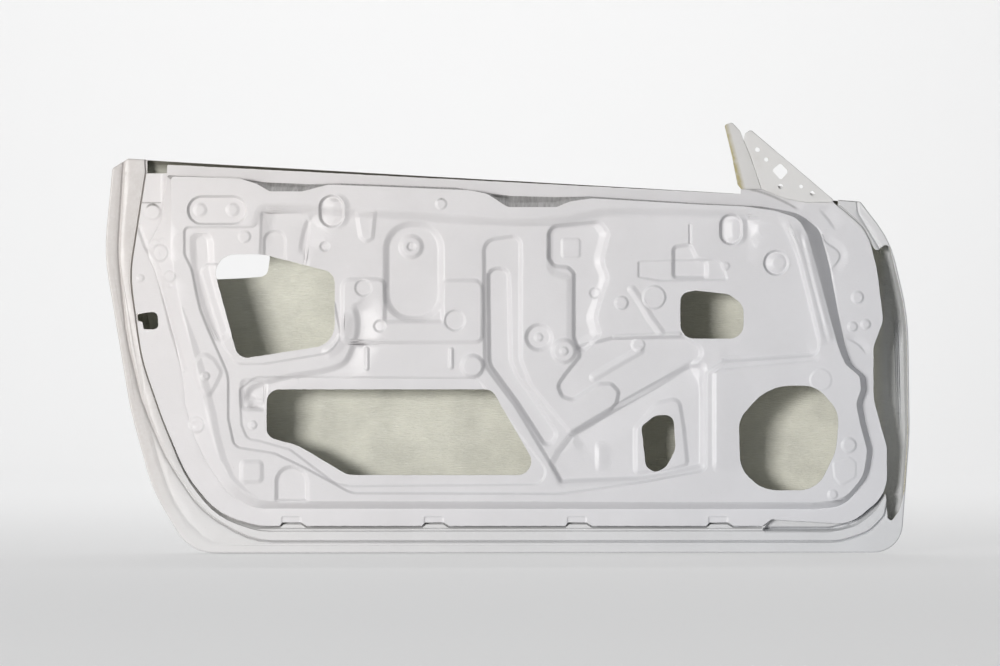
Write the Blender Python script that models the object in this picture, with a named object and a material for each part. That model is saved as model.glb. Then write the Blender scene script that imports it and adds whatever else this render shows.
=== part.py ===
"""Fibreglass shell of a left-hand coupe door, seen from the cabin side.

Two big mouldings are bonded round their rims: an outer skin with a return flange,
and an embossed inner panel. A flat mirror plate and a window channel strip stand on
the front of the belt line. All sizes are millimetres, and MM turns them into metres.
X runs forward along the car, Y runs out of the car, Z is up.
Below, the inner panel's tray is at y = 0 and the bottom edge of the door at z = 0, and
the finished model is moved so that its origin lies on the hinge face.
"""
import math

import bmesh
import bpy
import numpy as np
from mathutils import Vector
from mathutils.geometry import delaunay_2d_cdt

MM = 0.001

# Laminates and the gap of the bond line
PANEL_WALL = 3.5
SKIN_WALL = 3.0
PLATE_WALL = 4.0
BOND_GAP = 0.3

# Section of the door, measured along Y from the inner panel's field
FLANGE_LOW = 14.0
FLANGE_HIGH = 32.0
BELT_HEIGHT = 600.0
CROWN_DEPTH = 118.0
CROWN_HEIGHT = 330.0
CROWN_RADIUS = 950.0
BOW_RADIUS = 14000.0
EDGE_RADIUS = 9.0
NOSE_RADIUS = 46.0
NOSE_START = 560.0
NOSE_END = 620.0
NOSE_TOP = 545.0
NOSE_BLEND = 80.0
RIM_DEPTH = 12.0

# Pressed walls of the inner panel
WALL_RUN = 7.0
SHARP_RUN = 4.0
SOFT_RUN = 11.0
FIELD_STEP = 3.0
JOGGLE = 3.0
JOGGLE_RUN = 4.0

# Smoothness of arcs and of the crowned skin
ARC_STEP = math.radians(30)
SKIN_GRID = 90.0
SMALLEST_FILLET = 0.01

# Y where the cutters that open the flange start, well in front of the door
CUTTER_START = -50.0

# Where the hinge face is, which is the origin of the model
HINGE_X = 575.0
HINGE_Z = 455.0


# Outlines: every corner is (x, z, fillet radius), listed clockwise or counter-clockwise

SKIN_OUTLINE = [
    (-622, 616, 6), (-597, 631, 3), (389, 575, 0), (578, 563, 8), (626, 500, 160),
    (654, 380, 400), (656, 190, 500), (641, 1, 46), (-496, 0, 70), (-556, 100, 260),
    (-592, 230, 400), (-637, 480, 300),
]
PANEL_OUTLINE = [
    (-567, 608, 2), (-592, 445, 200), (-570, 310, 300), (-536, 218, 300), (-452, 80, 200),
    (-385, 41, 90), (421, 41, 3), (435, 54, 6), (560, 46, 60), (619, 95, 60), (619, 170, 60),
    (598, 245, 60), (598, 330, 40), (614, 372, 40), (604, 455, 200), (589, 515, 80),
    (536, 560, 3), (530, 569, 2), (496, 577, 20), (430, 592, 4), (387, 592, 2), (386, 575, 1),
    (-534, 622, 2), (-534, 608, 1),
]
# The tray's wall runs from its foot, on the flange, up to its top
TRAY_FOOT = [
    (-534, 605, 4), (-256, 595, 0), (-48, 587, 0), (144, 574, 0), (320, 562, 0), (419, 556, 60),
    (480, 544, 60), (512, 518, 30), (527, 466, 200), (541, 389, 200), (554, 325, 100), (563, 301, 20),
    (585, 284, 16), (587, 261, 20), (579, 240, 30), (586, 205, 100), (597, 165, 40), (590, 124, 50),
    (552, 75, 50), (505, 70, 40), (-392, 71, 60), (-435, 94, 60), (-472, 149, 100), (-493, 197, 200),
    (-515, 293, 200), (-539, 405, 200), (-547, 466, 60), (-544, 520, 60),
]
TRAY_TOP = [
    (-525, 602, 6), (-416, 599, 20), (-388, 590, 16), (-368, 578, 12), (-316, 578, 12), (-300, 584, 20),
    (-274, 592, 30), (-48, 583, 40), (-20, 577, 30), (12, 554, 16), (90, 554, 16), (112, 564, 16),
    (146, 570, 30), (320, 559, 0), (392, 554, 60), (440, 547, 60), (476, 535, 30), (491, 508, 40),
    (506, 453, 200), (523, 389, 200), (541, 325, 100), (552, 301, 20), (574, 283, 14), (576, 261, 16),
    (568, 240, 30), (575, 205, 100), (586, 165, 40), (580, 124, 50), (549, 86, 50), (505, 82, 40),
    (-384, 84, 60), (-425, 112, 60), (-450, 155, 100), (-467, 215, 200), (-483, 293, 200),
    (-509, 397, 200), (-524, 470, 60),
]
FIELD_OUTLINE = [
    (-504, 521, 8), (-392, 521, 10), (-381, 552, 12), (-300, 552, 30), (-250, 545, 40),
    (-160, 541, 60), (-40, 530, 40), (30, 526, 40), (95, 526, 40), (165, 544, 60), (384, 541, 80),
    (450, 532, 15), (478, 469, 200), (510, 341, 60), (507, 316, 15), (352, 305, 20), (329, 290, 15),
    (329, 132, 12), (224, 113, 60), (96, 95, 60), (-237, 96, 40), (-310, 136, 40), (-360, 160, 30),
    (-424, 170, 15), (-434, 215, 30), (-434, 285, 60), (-480, 389, 200), (-492, 453, 40),
    (-504, 478, 20),
]
REAR_OPENING = [
    (-463, 477, 30), (-380, 478, 80), (-264, 448, 20), (-264, 334, 36), (-418, 310, 20),
]
LONG_OPENING = [
    (-373, 262, 20), (-13, 262, 18), (66, 125, 22), (-243, 125, 30), (-322, 172, 60), (-373, 186, 18),
]
SMALL_OPENING = [
    (288, 417, 22), (389, 417, 22), (389, 343, 22), (288, 343, 22),
]
OVAL_OPENING = [
    (226, 206, 10), (279, 223, 14), (279, 133, 24), (230, 133, 16),
]
SPEAKER_OPENING = [
    (381, 267, 78), (539, 267, 78), (539, 100, 78), (381, 100, 78),
]
LATCH_NOTCH = [
    (-600, 386, 2), (-548, 386, 5), (-548, 358, 5), (-600, 358, 2),
]
LATCH_GATE = [
    (-583, 386, 3), (-540, 386, 1), (-540, 358, 1), (-583, 358, 3),
]
DRAIN_CENTRES = [-331, -103, 126, 352]
DRAIN_WIDTH = 40.0
DRAIN_TOP = 48.0
SKIN_MOUTH = [
    (-566, 700, 1), (-566, 600, 3), (-558, 590, 3), (-570, 445, 200), (-548, 310, 300),
    (-514, 225, 300), (-432, 98, 160), (-370, 64, 90), (560, 64, 50), (614, 94, 3), (617, 58, 3),
    (602, 30, 4), (634, 44, 30), (648, 92, 60), (651, 190, 400), (649, 380, 400), (622, 495, 60),
    (604, 470, 6), (586, 505, 60), (542, 548, 10), (542, 700, 1),
]
CAVITY_OUTLINE = [
    (-619, 640, 6), (389, 585, 1), (575, 573, 5), (623, 499, 157),
    (651, 380, 397), (653, 190, 497), (638, 4, 43), (-494, 3, 67), (-553, 101, 257),
    (-589, 230, 397), (-634, 480, 297),
]
JOGGLE_OUTLINE = [
    (-603, 700, 1), (-604, 620, 2), (-614, 480, 200), (-592, 325, 400), (-560, 215, 300),
    (-470, 70, 200), (-400, 17, 120), (560, 17, 90), (619, 55, 60), (640, 95, 10), (645, 190, 60),
    (640, 400, 60), (620, 470, 60), (575, 545, 20), (560, 700, 1),
]
HANDLE_CUTOUT = [
    (-480, 512, 12), (-420, 512, 2), (-420, 471, 3), (-402, 471, 3), (-402, 512, 2), (-382, 512, 8),
    (-382, 447, 14), (-480, 447, 14),
]
HANDLE_TAB_HOLE = (-411, 478, 2.5)
# Holes drilled by hand in the plate: centre x, centre z, radius
PLATE_HOLES = [(413, 646, 4), (427, 630, 3.5), (450, 587, 4.2), (483, 587, 3.2), (501, 576, 4)]
RAGGED_HOLE = [(436, 613, 4), (450, 625, 4), (463, 611, 5), (450, 597, 4)]
MIRROR_PLATE = [
    (393, 672, 4), (402, 678, 5), (534, 566, 2), (534, 561.5, 1), (488, 561.5, 5), (457, 567.5, 30),
    (419.3, 582.5, 1), (404.3, 628, 200), (391.3, 661, 5),
]
CHANNEL_STRIP = [
    (360, 686, 4), (372, 690, 5), (385, 676, 5), (391, 661, 5), (404, 628, 200), (419, 582.5, 1),
    (387, 582.5, 3), (381, 590, 6), (372, 635, 100),
]


def rect(x0, z0, x1, z1, radius):
    """Rounded rectangle as four corners."""
    return [(x0, z0, radius), (x1, z0, radius), (x1, z1, radius), (x0, z1, radius)]


def disc(x, z, radius):
    """Circle as a square whose fillets meet."""
    return rect(x - radius, z - radius, x + radius, z + radius, radius)


def band(points, width, radius=None):
    """Strip of a given width along a centre line, with round ends."""
    half = width / 2
    line = [Vector(p) for p in points]
    left = []
    right = []
    for i, p in enumerate(line):
        before = (p - line[i - 1]).normalized() if i else None
        after = (line[i + 1] - p).normalized() if i < len(line) - 1 else None
        run = ((before or after) + (after or before)).normalized()
        end = run * half * ((after is None) - (before is None))
        side = Vector((-run.y, run.x)) * half
        bend = half if radius is None or before is None or after is None else radius
        left.append((p + end + side, bend))
        right.append((p + end - side, bend))
    return [(v.x, v.y, r) for v, r in left + right[::-1]]


# Pressings: name, depth (plus is away from the cabin), run of the wall, outline
PRESSINGS = [
    ("field", FIELD_STEP, SOFT_RUN, FIELD_OUTLINE),
    ("lower field", 3.0, WALL_RUN, [
        (-418, 285, 16), (-36, 280, 20), (92, 110, 20), (-240, 107, 20), (-305, 150, 20),
        (-340, 167, 20), (-405, 186, 14), (-415, 206, 20)]),
    ("speaker land", -3.0, WALL_RUN, [
        (344, 294, 16), (530, 302, 20), (562, 272, 20), (558, 245, 20), (572, 160, 40), (560, 115, 40),
        (536, 96, 30), (350, 112, 20), (344, 130, 10)]),
    ("front rim", -5.0, SOFT_RUN, band([(466, 515), (486, 455), (503, 395), (519, 335)], 20, 60)),
    ("rear opening lip", -3.0, WALL_RUN, [
        (-486, 452, 40), (-452, 318, 20), (-428, 300, 16), (-262, 321, 30), (-251, 345, 20),
        (-251, 440, 20), (-262, 454, 20), (-390, 474, 60)]),
    ("finger recess", 4.0, SOFT_RUN, band([(-477, 497), (-474, 453), (-462, 405), (-446, 357)], 28, 60)),
    ("rail", -6.0, SOFT_RUN, [
        (-430, 297, 6), (-320, 303, 20), (-252, 318, 20), (-234, 352, 20), (-238, 395, 8),
        (-220, 402, 8), (-213, 362, 20), (-226, 328, 15), (-240, 300, 12), (-336, 286, 40),
        (-412, 276, 6)]),
    ("slot", 6.0, SHARP_RUN, rect(-498, 526, -405, 570, 21.9)),
    ("rear oval", 7.0, SHARP_RUN, rect(-288, 522, -250, 571, 18.9)),
    ("front oval", 7.0, SHARP_RUN, rect(352, 494, 386, 541, 16.9)),
    ("front round", 6.0, SHARP_RUN, disc(441, 464, 19)),
    ("tall recess", 7.0, SOFT_RUN, rect(-182, 374, -94, 526, 40)),
    ("tall recess boss", -5.0, SOFT_RUN, disc(-142, 490, 19)),
    ("pads", -4.0, WALL_RUN, [
        (-252, 337, 10), (-28, 337, 12), (-28, 436, 14), (-92, 436, 12), (-92, 370, 4), (-184, 370, 4),
        (-184, 438, 12), (-252, 438, 14)]),
    ("channel", 5.0, WALL_RUN, [
        (-26, 500, 20), (33, 508, 14), (33, 310, 30), (56, 264, 40), (112, 196, 30), (122, 116, 8),
        (98, 114, 8), (83, 139, 30), (24, 237, 60), (-24, 300, 30)]),
    ("channel floor", 6.0, WALL_RUN, [
        (-18, 455, 14), (14, 455, 14), (17, 305, 30), (36, 276, 40), (92, 190, 30), (106, 124, 6),
        (96, 122, 6), (86, 143, 30), (30, 240, 60), (-14, 303, 30)]),
    ("centre recess", 8.0, WALL_RUN, [
        (80, 526, 16), (160, 530, 12), (173, 510, 20), (173, 470, 30), (164, 373, 30), (150, 341, 10),
        (124, 335, 8), (117, 420, 20), (108, 454, 10), (80, 466, 12)]),
    ("centre recess pad", -4.0, SHARP_RUN, rect(96, 474, 128, 504, 5)),
    ("bay recess", 6.0, WALL_RUN, [
        (124, 336, 6), (129, 318, 14), (116, 296, 12), (94, 280, 12), (92, 252, 16), (114, 242, 12),
        (147, 262, 14), (176, 272, 14), (190, 262, 14), (222, 318, 15), (160, 345, 10)]),
    ("lower centre recess", 6.0, SOFT_RUN, [
        (112, 186, 8), (138, 190, 14), (184, 227, 40), (256, 269, 40), (300, 303, 12), (322, 303, 8),
        (322, 136, 8), (224, 124, 60), (126, 118, 8)]),
    ("oval opening pad", -4.0, WALL_RUN, [
        (212, 214, 10), (250, 240, 20), (286, 248, 12), (294, 200, 40), (300, 142, 8), (270, 132, 6),
        (212, 128, 6)]),
    ("middle boss", -6.0, WALL_RUN, disc(-44, 299, 17)),
    ("small opening disc", -3.0, SHARP_RUN, disc(246, 409, 18)),
    ("centre round", 6.0, WALL_RUN, disc(62, 345, 20)),
    ("centre boss", -5.0, WALL_RUN, disc(102, 323, 18)),
    ("arch", 5.0, WALL_RUN, [(-357, 84, 3), (-357, 138, 24), (-308, 138, 24), (-308, 84, 3)]),
    ("small arch", 4.0, WALL_RUN, rect(-378, 466, -343, 517, 16)),
    ("gusset recess", 3.0, WALL_RUN, [
        (-320, 486, 6), (-320, 528, 16), (-302, 545, 10), (-262, 545, 10), (-262, 490, 20)]),
    ("gusset", -3.0, WALL_RUN, [(-230, 546, 3), (-199, 546, 3), (-203, 503, 6), (-214, 497, 6), (-223, 505, 6)]),
    ("regulator step", 3.0, SHARP_RUN, [
        (221, 464, 3), (286, 464, 4), (286, 486, 4), (309, 486, 6), (328, 458, 10), (364, 437, 4),
        (256, 435, 30), (221, 441, 3)]),
    ("square pad", -3.0, WALL_RUN, rect(-413, 114, -380, 147, 7)),
    ("stiffening ridge", -3.0, WALL_RUN, band([(211, 421), (224, 403), (240, 375), (256, 354)], 10, 10)),
    ("centre ridge", -2.5, WALL_RUN, band([(150, 281), (192, 306), (224, 324)], 9, 8)),
    ("hinge shoulder", -3.0, SHARP_RUN, [
        (510, 514, 4), (528, 497, 8), (545, 484, 8), (545, 466, 8), (531, 453, 6), (522, 440, 4)]),
    ("hinge boss land", -2.5, SHARP_RUN, [
        (550, 341, 4), (573, 335, 8), (586, 324, 8), (580, 309, 6), (558, 306, 4)]),
    ("speaker screw land", -2.0, SHARP_RUN, [
        (531, 146, 6), (557, 154, 8), (568, 146, 8), (568, 122, 8), (544, 108, 6), (534, 122, 6)]),
    ("island", -3.0, WALL_RUN, [
        (-490, 300, 8), (-472, 322, 8), (-456, 309, 8), (-444, 290, 8), (-454, 268, 10), (-467, 246, 6),
        (-482, 264, 10), (-490, 280, 8)]),
    ("rear rib", -3.0, SHARP_RUN, band([(-213, 296), (-213, 326)], 6)),
    ("middle rib", -3.0, SHARP_RUN, band([(-78, 298), (-78, 325)], 6)),
    ("long ridge", -2.0, SHARP_RUN, band([(184, 345), (286, 350)], 6)),
    ("lower ridge", -3.0, WALL_RUN, band([(152, 124), (152, 168)], 11)),
    ("corner recess", 3.0, WALL_RUN, rect(-413, 230, -374, 277, 8)),
    ("rear shelf", 2.0, WALL_RUN, rect(-381, 484, -318, 547, 4)),
    ("slot dome rear", -3.0, SOFT_RUN, disc(-480, 549, 13)),
    ("slot dome front", -3.0, SOFT_RUN, disc(-425, 549, 13)),
] + [
    ("round pressing", depth, SHARP_RUN, disc(x, z, radius))
    for x, z, radius, depth in [
        (-218, 424, 13, 3), (-192, 363, 9, 3), (-72, 372, 16, 3), (-408, 506, 9, -2), (-485, 205, 12, -3),
        (-557, 546, 12, -2.5), (-544, 480, 13, -3), (194, 400, 10, -3), (221, 333, 10, -2),
        (573, 409, 9, -2.5), (557, 173, 11, -2.5), (512, 277, 19, -1.5),
    ]
]


def make_ccw(corners):
    """Corner list in counter-clockwise order, so that outward is always the same side."""
    pairs = zip(corners, corners[1:] + corners[:1])
    area = sum(a[0] * b[1] - b[0] * a[1] for a, b in pairs)
    return corners if area > 0 else corners[::-1]


def offset(corners, distance):
    """Parallel outline: plus grows it, minus shrinks it. Fillets keep their centres."""
    corners = make_ccw(corners)
    grown = []
    for i, (x, z, radius) in enumerate(corners):
        p = Vector((x, z))
        before = (p - Vector(corners[i - 1][:2])).normalized()
        after = (Vector(corners[(i + 1) % len(corners)][:2]) - p).normalized()
        n0 = Vector((before.y, -before.x))
        n1 = Vector((after.y, -after.x))
        q = p + (n0 + n1) * distance / (1 + n0.dot(n1))
        convex = before.cross(after) > 0
        grown.append((q.x, q.y, max(radius + (distance if convex else -distance), SMALLEST_FILLET)))
    return grown


def trace(corners, step=ARC_STEP):
    """Points of an outline whose corners are filleted by arcs."""
    corners = make_ccw(corners)
    points = []
    for i, (x, z, radius) in enumerate(corners):
        p = Vector((x, z))
        to_before = Vector(corners[i - 1][:2]) - p
        to_after = Vector(corners[(i + 1) % len(corners)][:2]) - p
        turn = math.pi - to_before.angle(to_after)
        reach = 0.499 * min(to_before.length, to_after.length)
        if radius < 0.5 or turn < math.radians(2):
            points.append(p)
            continue
        tangent = min(radius * math.tan(turn / 2), reach)
        radius = tangent / math.tan(turn / 2)
        start = p + to_before.normalized() * tangent
        axis = (to_before.normalized() + to_after.normalized()).normalized()
        centre = p + axis * math.hypot(radius, tangent)
        arms = max(1, math.ceil(turn / step))
        spin = turn / arms
        if to_before.cross(to_after) > 0:
            spin = -spin
        arm = start - centre
        for k in range(arms + 1):
            c = math.cos(spin * k)
            s = math.sin(spin * k)
            points.append(centre + Vector((arm.x * c - arm.y * s, arm.x * s + arm.y * c)))
    return points


def distance_to(loop, xz):
    """Signed distance of many points to a closed loop, minus inside."""
    a = np.array([(p.x, p.y) for p in loop])
    b = np.roll(a, -1, axis=0)
    best = np.full(len(xz), np.inf)
    inside = np.zeros(len(xz), dtype=bool)
    for (ax, az), (bx, bz) in zip(a, b):
        ex, ez = bx - ax, bz - az
        wx, wz = xz[:, 0] - ax, xz[:, 1] - az
        along = np.clip((wx * ex + wz * ez) / max(ex * ex + ez * ez, 1e-12), 0, 1)
        best = np.minimum(best, np.hypot(wx - along * ex, wz - along * ez))
        crosses = (az > xz[:, 1]) != (bz > xz[:, 1])
        if abs(ez) > 1e-12:
            inside ^= crosses & (xz[:, 0] < ax + ex * (xz[:, 1] - az) / ez)
    return np.where(inside, -best, best)


def inside_share(corners, run, xz):
    """1 inside an outline, 0 outside, with a straight ramp across its wall."""
    return np.clip(0.5 - distance_to(trace(corners), xz) / run, 0, 1)


def flange_level(xz):
    """Y of the flat flange round the tray: deeper at the belt than at the sill."""
    return FLANGE_LOW + (FLANGE_HIGH - FLANGE_LOW) * xz[:, 1] / BELT_HEIGHT


def tray_share(xz):
    """0 on the flange, 1 on the tray, and a ramp from the wall's foot to its top."""
    from_foot = np.clip(-distance_to(trace(TRAY_FOOT), xz), 0, None)
    from_top = np.clip(distance_to(trace(TRAY_TOP), xz), 0, None)
    return from_foot / np.maximum(from_foot + from_top, SMALLEST_FILLET)


def panel_front(xz):
    """Y of the cabin face of the inner panel."""
    level = flange_level(xz) * (1 - tray_share(xz))
    for _, depth, run, corners in PRESSINGS:
        level += depth * inside_share(corners, run, xz)
    return level


def panel_back(xz):
    """Y of the hidden face of the inner panel, never behind the flange's own bonded face."""
    return np.minimum(panel_front(xz), flange_level(xz)) + PANEL_WALL


def skin_flange(xz):
    """Y of the cabin face of the skin's flange: joggled down where the panel lies on it."""
    seat = flange_level(xz) + PANEL_WALL + BOND_GAP
    return seat - JOGGLE * (1 - inside_share(JOGGLE_OUTLINE, JOGGLE_RUN, xz))


def skin_outside(xz):
    """Y of the painted face of the skin: a barrel with rounded edges."""
    rise = (xz[:, 1] - CROWN_HEIGHT) ** 2 / (2 * CROWN_RADIUS)
    bow = xz[:, 0] ** 2 / (2 * BOW_RADIUS)
    nose = np.clip((xz[:, 0] - NOSE_START) / (NOSE_END - NOSE_START), 0, 1)
    nose = nose * np.clip((NOSE_TOP - xz[:, 1]) / NOSE_BLEND, 0, 1)
    radius = EDGE_RADIUS + (NOSE_RADIUS - EDGE_RADIUS) * nose
    inward = np.clip(-distance_to(trace(SKIN_OUTLINE), xz), 0, radius)
    rounding = radius - np.sqrt(radius ** 2 - (radius - inward) ** 2)
    return np.maximum(CROWN_DEPTH - rise - bow - rounding, skin_flange(xz) + RIM_DEPTH)


def plate_back(xz):
    """Y of the bonded face of the mirror plate, on the front face of the flange."""
    return flange_level(xz) - BOND_GAP


def plate_front(xz):
    """Y of the cabin face of the mirror plate."""
    return plate_back(xz) - PLATE_WALL


def hollow_front(xz):
    """Hidden face of the skin's flange."""
    return skin_flange(xz) + SKIN_WALL


def hollow_back(xz):
    """Inside face of the skin, kept clear of the flange where the mouth runs out."""
    return np.maximum(skin_outside(xz) - SKIN_WALL, hollow_front(xz) + SKIN_WALL)


def slab(name, outline, front, back, loops=(), holes=(), grid=None):
    """Closed solid between two height functions over an outline, with holes left out."""
    rings = [trace(outline)] + [trace(hole) for hole in holes] + [trace(loop) for loop in loops]
    points = []
    edges = []
    for ring in rings:
        first = len(points)
        points += ring
        edges += [(first + k, first + (k + 1) % len(ring)) for k in range(len(ring))]
    if grid:
        xs = [p.x for p in rings[0]]
        zs = [p.y for p in rings[0]]
        for i in range(1, int((max(xs) - min(xs)) / grid) + 1):
            for k in range(1, int((max(zs) - min(zs)) / grid) + 1):
                points.append(Vector((min(xs) + i * grid, min(zs) + k * grid)))
    flat, _, faces, _, _, _ = delaunay_2d_cdt(points, edges, [], 0, 1e-4, False)
    xz = np.array([(p.x, p.y) for p in flat])
    centres = np.array([xz[list(face)].mean(axis=0) for face in faces])
    keep = distance_to(rings[0], centres) < 0
    for ring in rings[1:1 + len(holes)]:
        keep &= distance_to(ring, centres) > 0
    level = front(xz)
    mesh = bpy.data.meshes.new(name)
    bm = bmesh.new()
    verts = [bm.verts.new((x, y, z)) for (x, z), y in zip(xz, level)]
    for face, kept in zip(faces, keep):
        if kept:
            bm.faces.new([verts[k] for k in face])
    for vert in [v for v in bm.verts if not v.link_faces]:
        bm.verts.remove(vert)
    grown = bmesh.ops.extrude_face_region(bm, geom=bm.faces[:])["geom"]
    rear = [g for g in grown if isinstance(g, bmesh.types.BMVert)]
    rear_xz = np.array([(v.co.x, v.co.z) for v in rear])
    for vert, y in zip(rear, back(rear_xz)):
        vert.co.y = y
    bmesh.ops.recalc_face_normals(bm, faces=bm.faces)
    hinge_y = flange_level(np.array([[HINGE_X, HINGE_Z]]))[0]
    bmesh.ops.translate(bm, vec=(-HINGE_X, -hinge_y, -HINGE_Z), verts=bm.verts)
    bmesh.ops.scale(bm, vec=(MM, MM, MM), verts=bm.verts)
    bm.to_mesh(mesh)
    bm.free()
    return bpy.data.objects.new(name, mesh)


def cutter_front(xz):
    """Flat face of a cutter that starts in front of the door."""
    return np.full(len(xz), CUTTER_START)


def cutter_back(xz):
    """Face of a cutter that goes through the flange and stops inside the hollow."""
    return hollow_front(xz) + SKIN_WALL / 2


def cut(target, cutter):
    """Live Boolean on a piece; the cutter stays as a hidden wire object."""
    cutters.objects.link(cutter)
    cutter.hide_render = True
    cutter.display_type = "WIRE"
    step = target.modifiers.new(cutter.name, "BOOLEAN")
    step.object = cutter
    step.operation = "DIFFERENCE"
    step.solver = "EXACT"


def material(name, colour, roughness):
    """Painted or raw laminate as one Principled shader."""
    mat = bpy.data.materials.new(name)
    mat.use_nodes = True
    shader = mat.node_tree.nodes["Principled BSDF"]
    shader.inputs["Base Color"].default_value = (*colour, 1)
    shader.inputs["Roughness"].default_value = roughness
    shader.inputs["Metallic"].default_value = 0.0
    return mat


def make_inner_panel():
    """Embossed inner moulding: tray, pressings, service openings and trimmed flange."""
    loops = [TRAY_FOOT, TRAY_TOP]
    for _, _, run, corners in PRESSINGS:
        loops += [offset(corners, run / 2), offset(corners, -run / 2)]
    holes = [REAR_OPENING, LONG_OPENING, SMALL_OPENING, OVAL_OPENING, SPEAKER_OPENING, LATCH_NOTCH]
    for x in DRAIN_CENTRES:
        holes.append(rect(x - DRAIN_WIDTH / 2, 0, x + DRAIN_WIDTH / 2, DRAIN_TOP, 2))
    return slab("inner_panel", PANEL_OUTLINE, panel_front, panel_back, loops, holes)


def make_outer_skin():
    """Outer moulding: crowned skin, rounded hem and return flange, open along the belt."""
    joggle = [offset(JOGGLE_OUTLINE, JOGGLE_RUN / 2), offset(JOGGLE_OUTLINE, -JOGGLE_RUN / 2)]
    rounding = [offset(SKIN_OUTLINE, -EDGE_RADIUS * k) for k in (0.1, 0.4, 1.0)]
    nose = [offset(SKIN_OUTLINE, -NOSE_RADIUS * k) for k in (0.45, 0.7, 1.0)]
    skin = slab("outer_skin", SKIN_OUTLINE, skin_flange, skin_outside,
                joggle + rounding + nose, [HANDLE_CUTOUT, disc(*HANDLE_TAB_HOLE)], SKIN_GRID)
    hollow = slab("skin_hollow", CAVITY_OUTLINE, hollow_front, hollow_back,
                  joggle + rounding[2:] + nose, grid=SKIN_GRID)
    mouth = slab("skin_mouth", SKIN_MOUTH, cutter_front, cutter_back, joggle, grid=SKIN_GRID)
    gate = slab("latch_gate", LATCH_GATE, cutter_front, cutter_back)
    for cutter in (hollow, mouth, gate):
        cut(skin, cutter)
    return skin


def make_mirror_plate():
    """Flat triangular plate for the mirror, bonded on the panel's front shoulder."""
    holes = [disc(*hole) for hole in PLATE_HOLES] + [RAGGED_HOLE]
    return slab("mirror_plate", MIRROR_PLATE, plate_front, plate_back, holes=holes)


def make_channel_strip():
    """Tapered strip beside the plate, which the front window channel is bonded to."""
    return slab("channel_strip", CHANNEL_STRIP, plate_front, plate_back)


for old in list(bpy.data.objects):
    bpy.data.objects.remove(old)
door = bpy.data.collections.new("car_door_shell")
cutters = bpy.data.collections.new("cutters")
bpy.context.scene.collection.children.link(door)
bpy.context.scene.collection.children.link(cutters)

gelcoat = material("white_gelcoat", (0.80, 0.79, 0.77), 0.45)

pieces = [
    (make_outer_skin(), gelcoat),
    (make_inner_panel(), gelcoat),
    (make_mirror_plate(), gelcoat),
    (make_channel_strip(), gelcoat),
]
for piece, finish in pieces:
    piece.data.materials.append(finish)
    door.objects.link(piece)
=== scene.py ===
# %% [markdown]
# # A bare glass-fibre car door
# The object is the shell of a coupe's left door, as it comes out of its moulds: white
# gelcoat in front, raw laminate behind, and edges trimmed by hand. This script gives the
# CAD model its finish. It builds a fine version of each moulding over the plain solids,
# in the same place, and paints them with procedural materials.

# %% Load the frame
import math

import bmesh
import bpy
import numpy as np
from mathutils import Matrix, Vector, noise
from mathutils.geometry import delaunay_2d_cdt


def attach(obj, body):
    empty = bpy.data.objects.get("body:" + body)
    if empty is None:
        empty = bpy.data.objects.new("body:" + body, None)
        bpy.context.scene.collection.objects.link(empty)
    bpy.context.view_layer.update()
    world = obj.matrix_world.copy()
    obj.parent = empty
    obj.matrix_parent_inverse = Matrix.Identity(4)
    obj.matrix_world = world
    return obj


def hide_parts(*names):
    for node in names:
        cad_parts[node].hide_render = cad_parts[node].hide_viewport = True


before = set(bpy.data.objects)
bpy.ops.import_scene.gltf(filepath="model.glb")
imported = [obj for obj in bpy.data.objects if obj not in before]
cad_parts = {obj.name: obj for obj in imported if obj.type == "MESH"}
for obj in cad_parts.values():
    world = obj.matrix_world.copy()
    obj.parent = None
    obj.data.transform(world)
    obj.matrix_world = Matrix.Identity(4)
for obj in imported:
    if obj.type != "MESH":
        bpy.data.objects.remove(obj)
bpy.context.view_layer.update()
print("nodes:", sorted(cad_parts))

# %% [markdown]
# The door was drawn in millimetres, with the tray of the inner panel at y = 0 and the
# bottom edge at z = 0. The frame's origin lies on the hinge face instead, so one helper
# moves a finished mesh there and turns millimetres into metres.

# %% Place of the model
MM = 0.001
HINGE_X = 575.0
HINGE_Z = 455.0
FLANGE_LOW = 14.0
FLANGE_HIGH = 32.0
BELT_HEIGHT = 600.0
HINGE_Y = FLANGE_LOW + (FLANGE_HIGH - FLANGE_LOW) * HINGE_Z / BELT_HEIGHT


def to_frame(x, y, z):
    """A point of the drawing, in millimetres, as a point of the frame, in metres."""
    return Vector(((x - HINGE_X) * MM, (y - HINGE_Y) * MM, (z - HINGE_Z) * MM))


print("hinge face at y =", round(HINGE_Y, 2), "mm of the drawing")

# %% [markdown]
# Every edge and pressing of the door is an outline with filleted corners. A corner is
# (x, z, radius). Three small shapes cover most of the pressings: a rounded rectangle, a
# disc, which is a square whose fillets meet, and a band along a centre line.

# %% Outline helpers


def rect(x0, z0, x1, z1, radius):
    """Rounded rectangle as four corners."""
    return [(x0, z0, radius), (x1, z0, radius), (x1, z1, radius), (x0, z1, radius)]


def disc(x, z, radius):
    """Circle as a square whose fillets meet."""
    return rect(x - radius, z - radius, x + radius, z + radius, radius)


def band(points, width, radius=None):
    """Strip of a given width along a centre line, with round ends."""
    half = width / 2
    line = [Vector(p) for p in points]
    left = []
    right = []
    for i, p in enumerate(line):
        before = (p - line[i - 1]).normalized() if i else None
        after = (line[i + 1] - p).normalized() if i < len(line) - 1 else None
        run = ((before or after) + (after or before)).normalized()
        end = run * half * ((after is None) - (before is None))
        side = Vector((-run.y, run.x)) * half
        bend = half if radius is None or before is None or after is None else radius
        left.append((p + end + side, bend))
        right.append((p + end - side, bend))
    return [(v.x, v.y, r) for v, r in left + right[::-1]]


def make_ccw(corners):
    """Corner list in counter-clockwise order, so that outward is always the same side."""
    pairs = zip(corners, corners[1:] + corners[:1])
    area = sum(a[0] * b[1] - b[0] * a[1] for a, b in pairs)
    return corners if area > 0 else corners[::-1]


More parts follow.
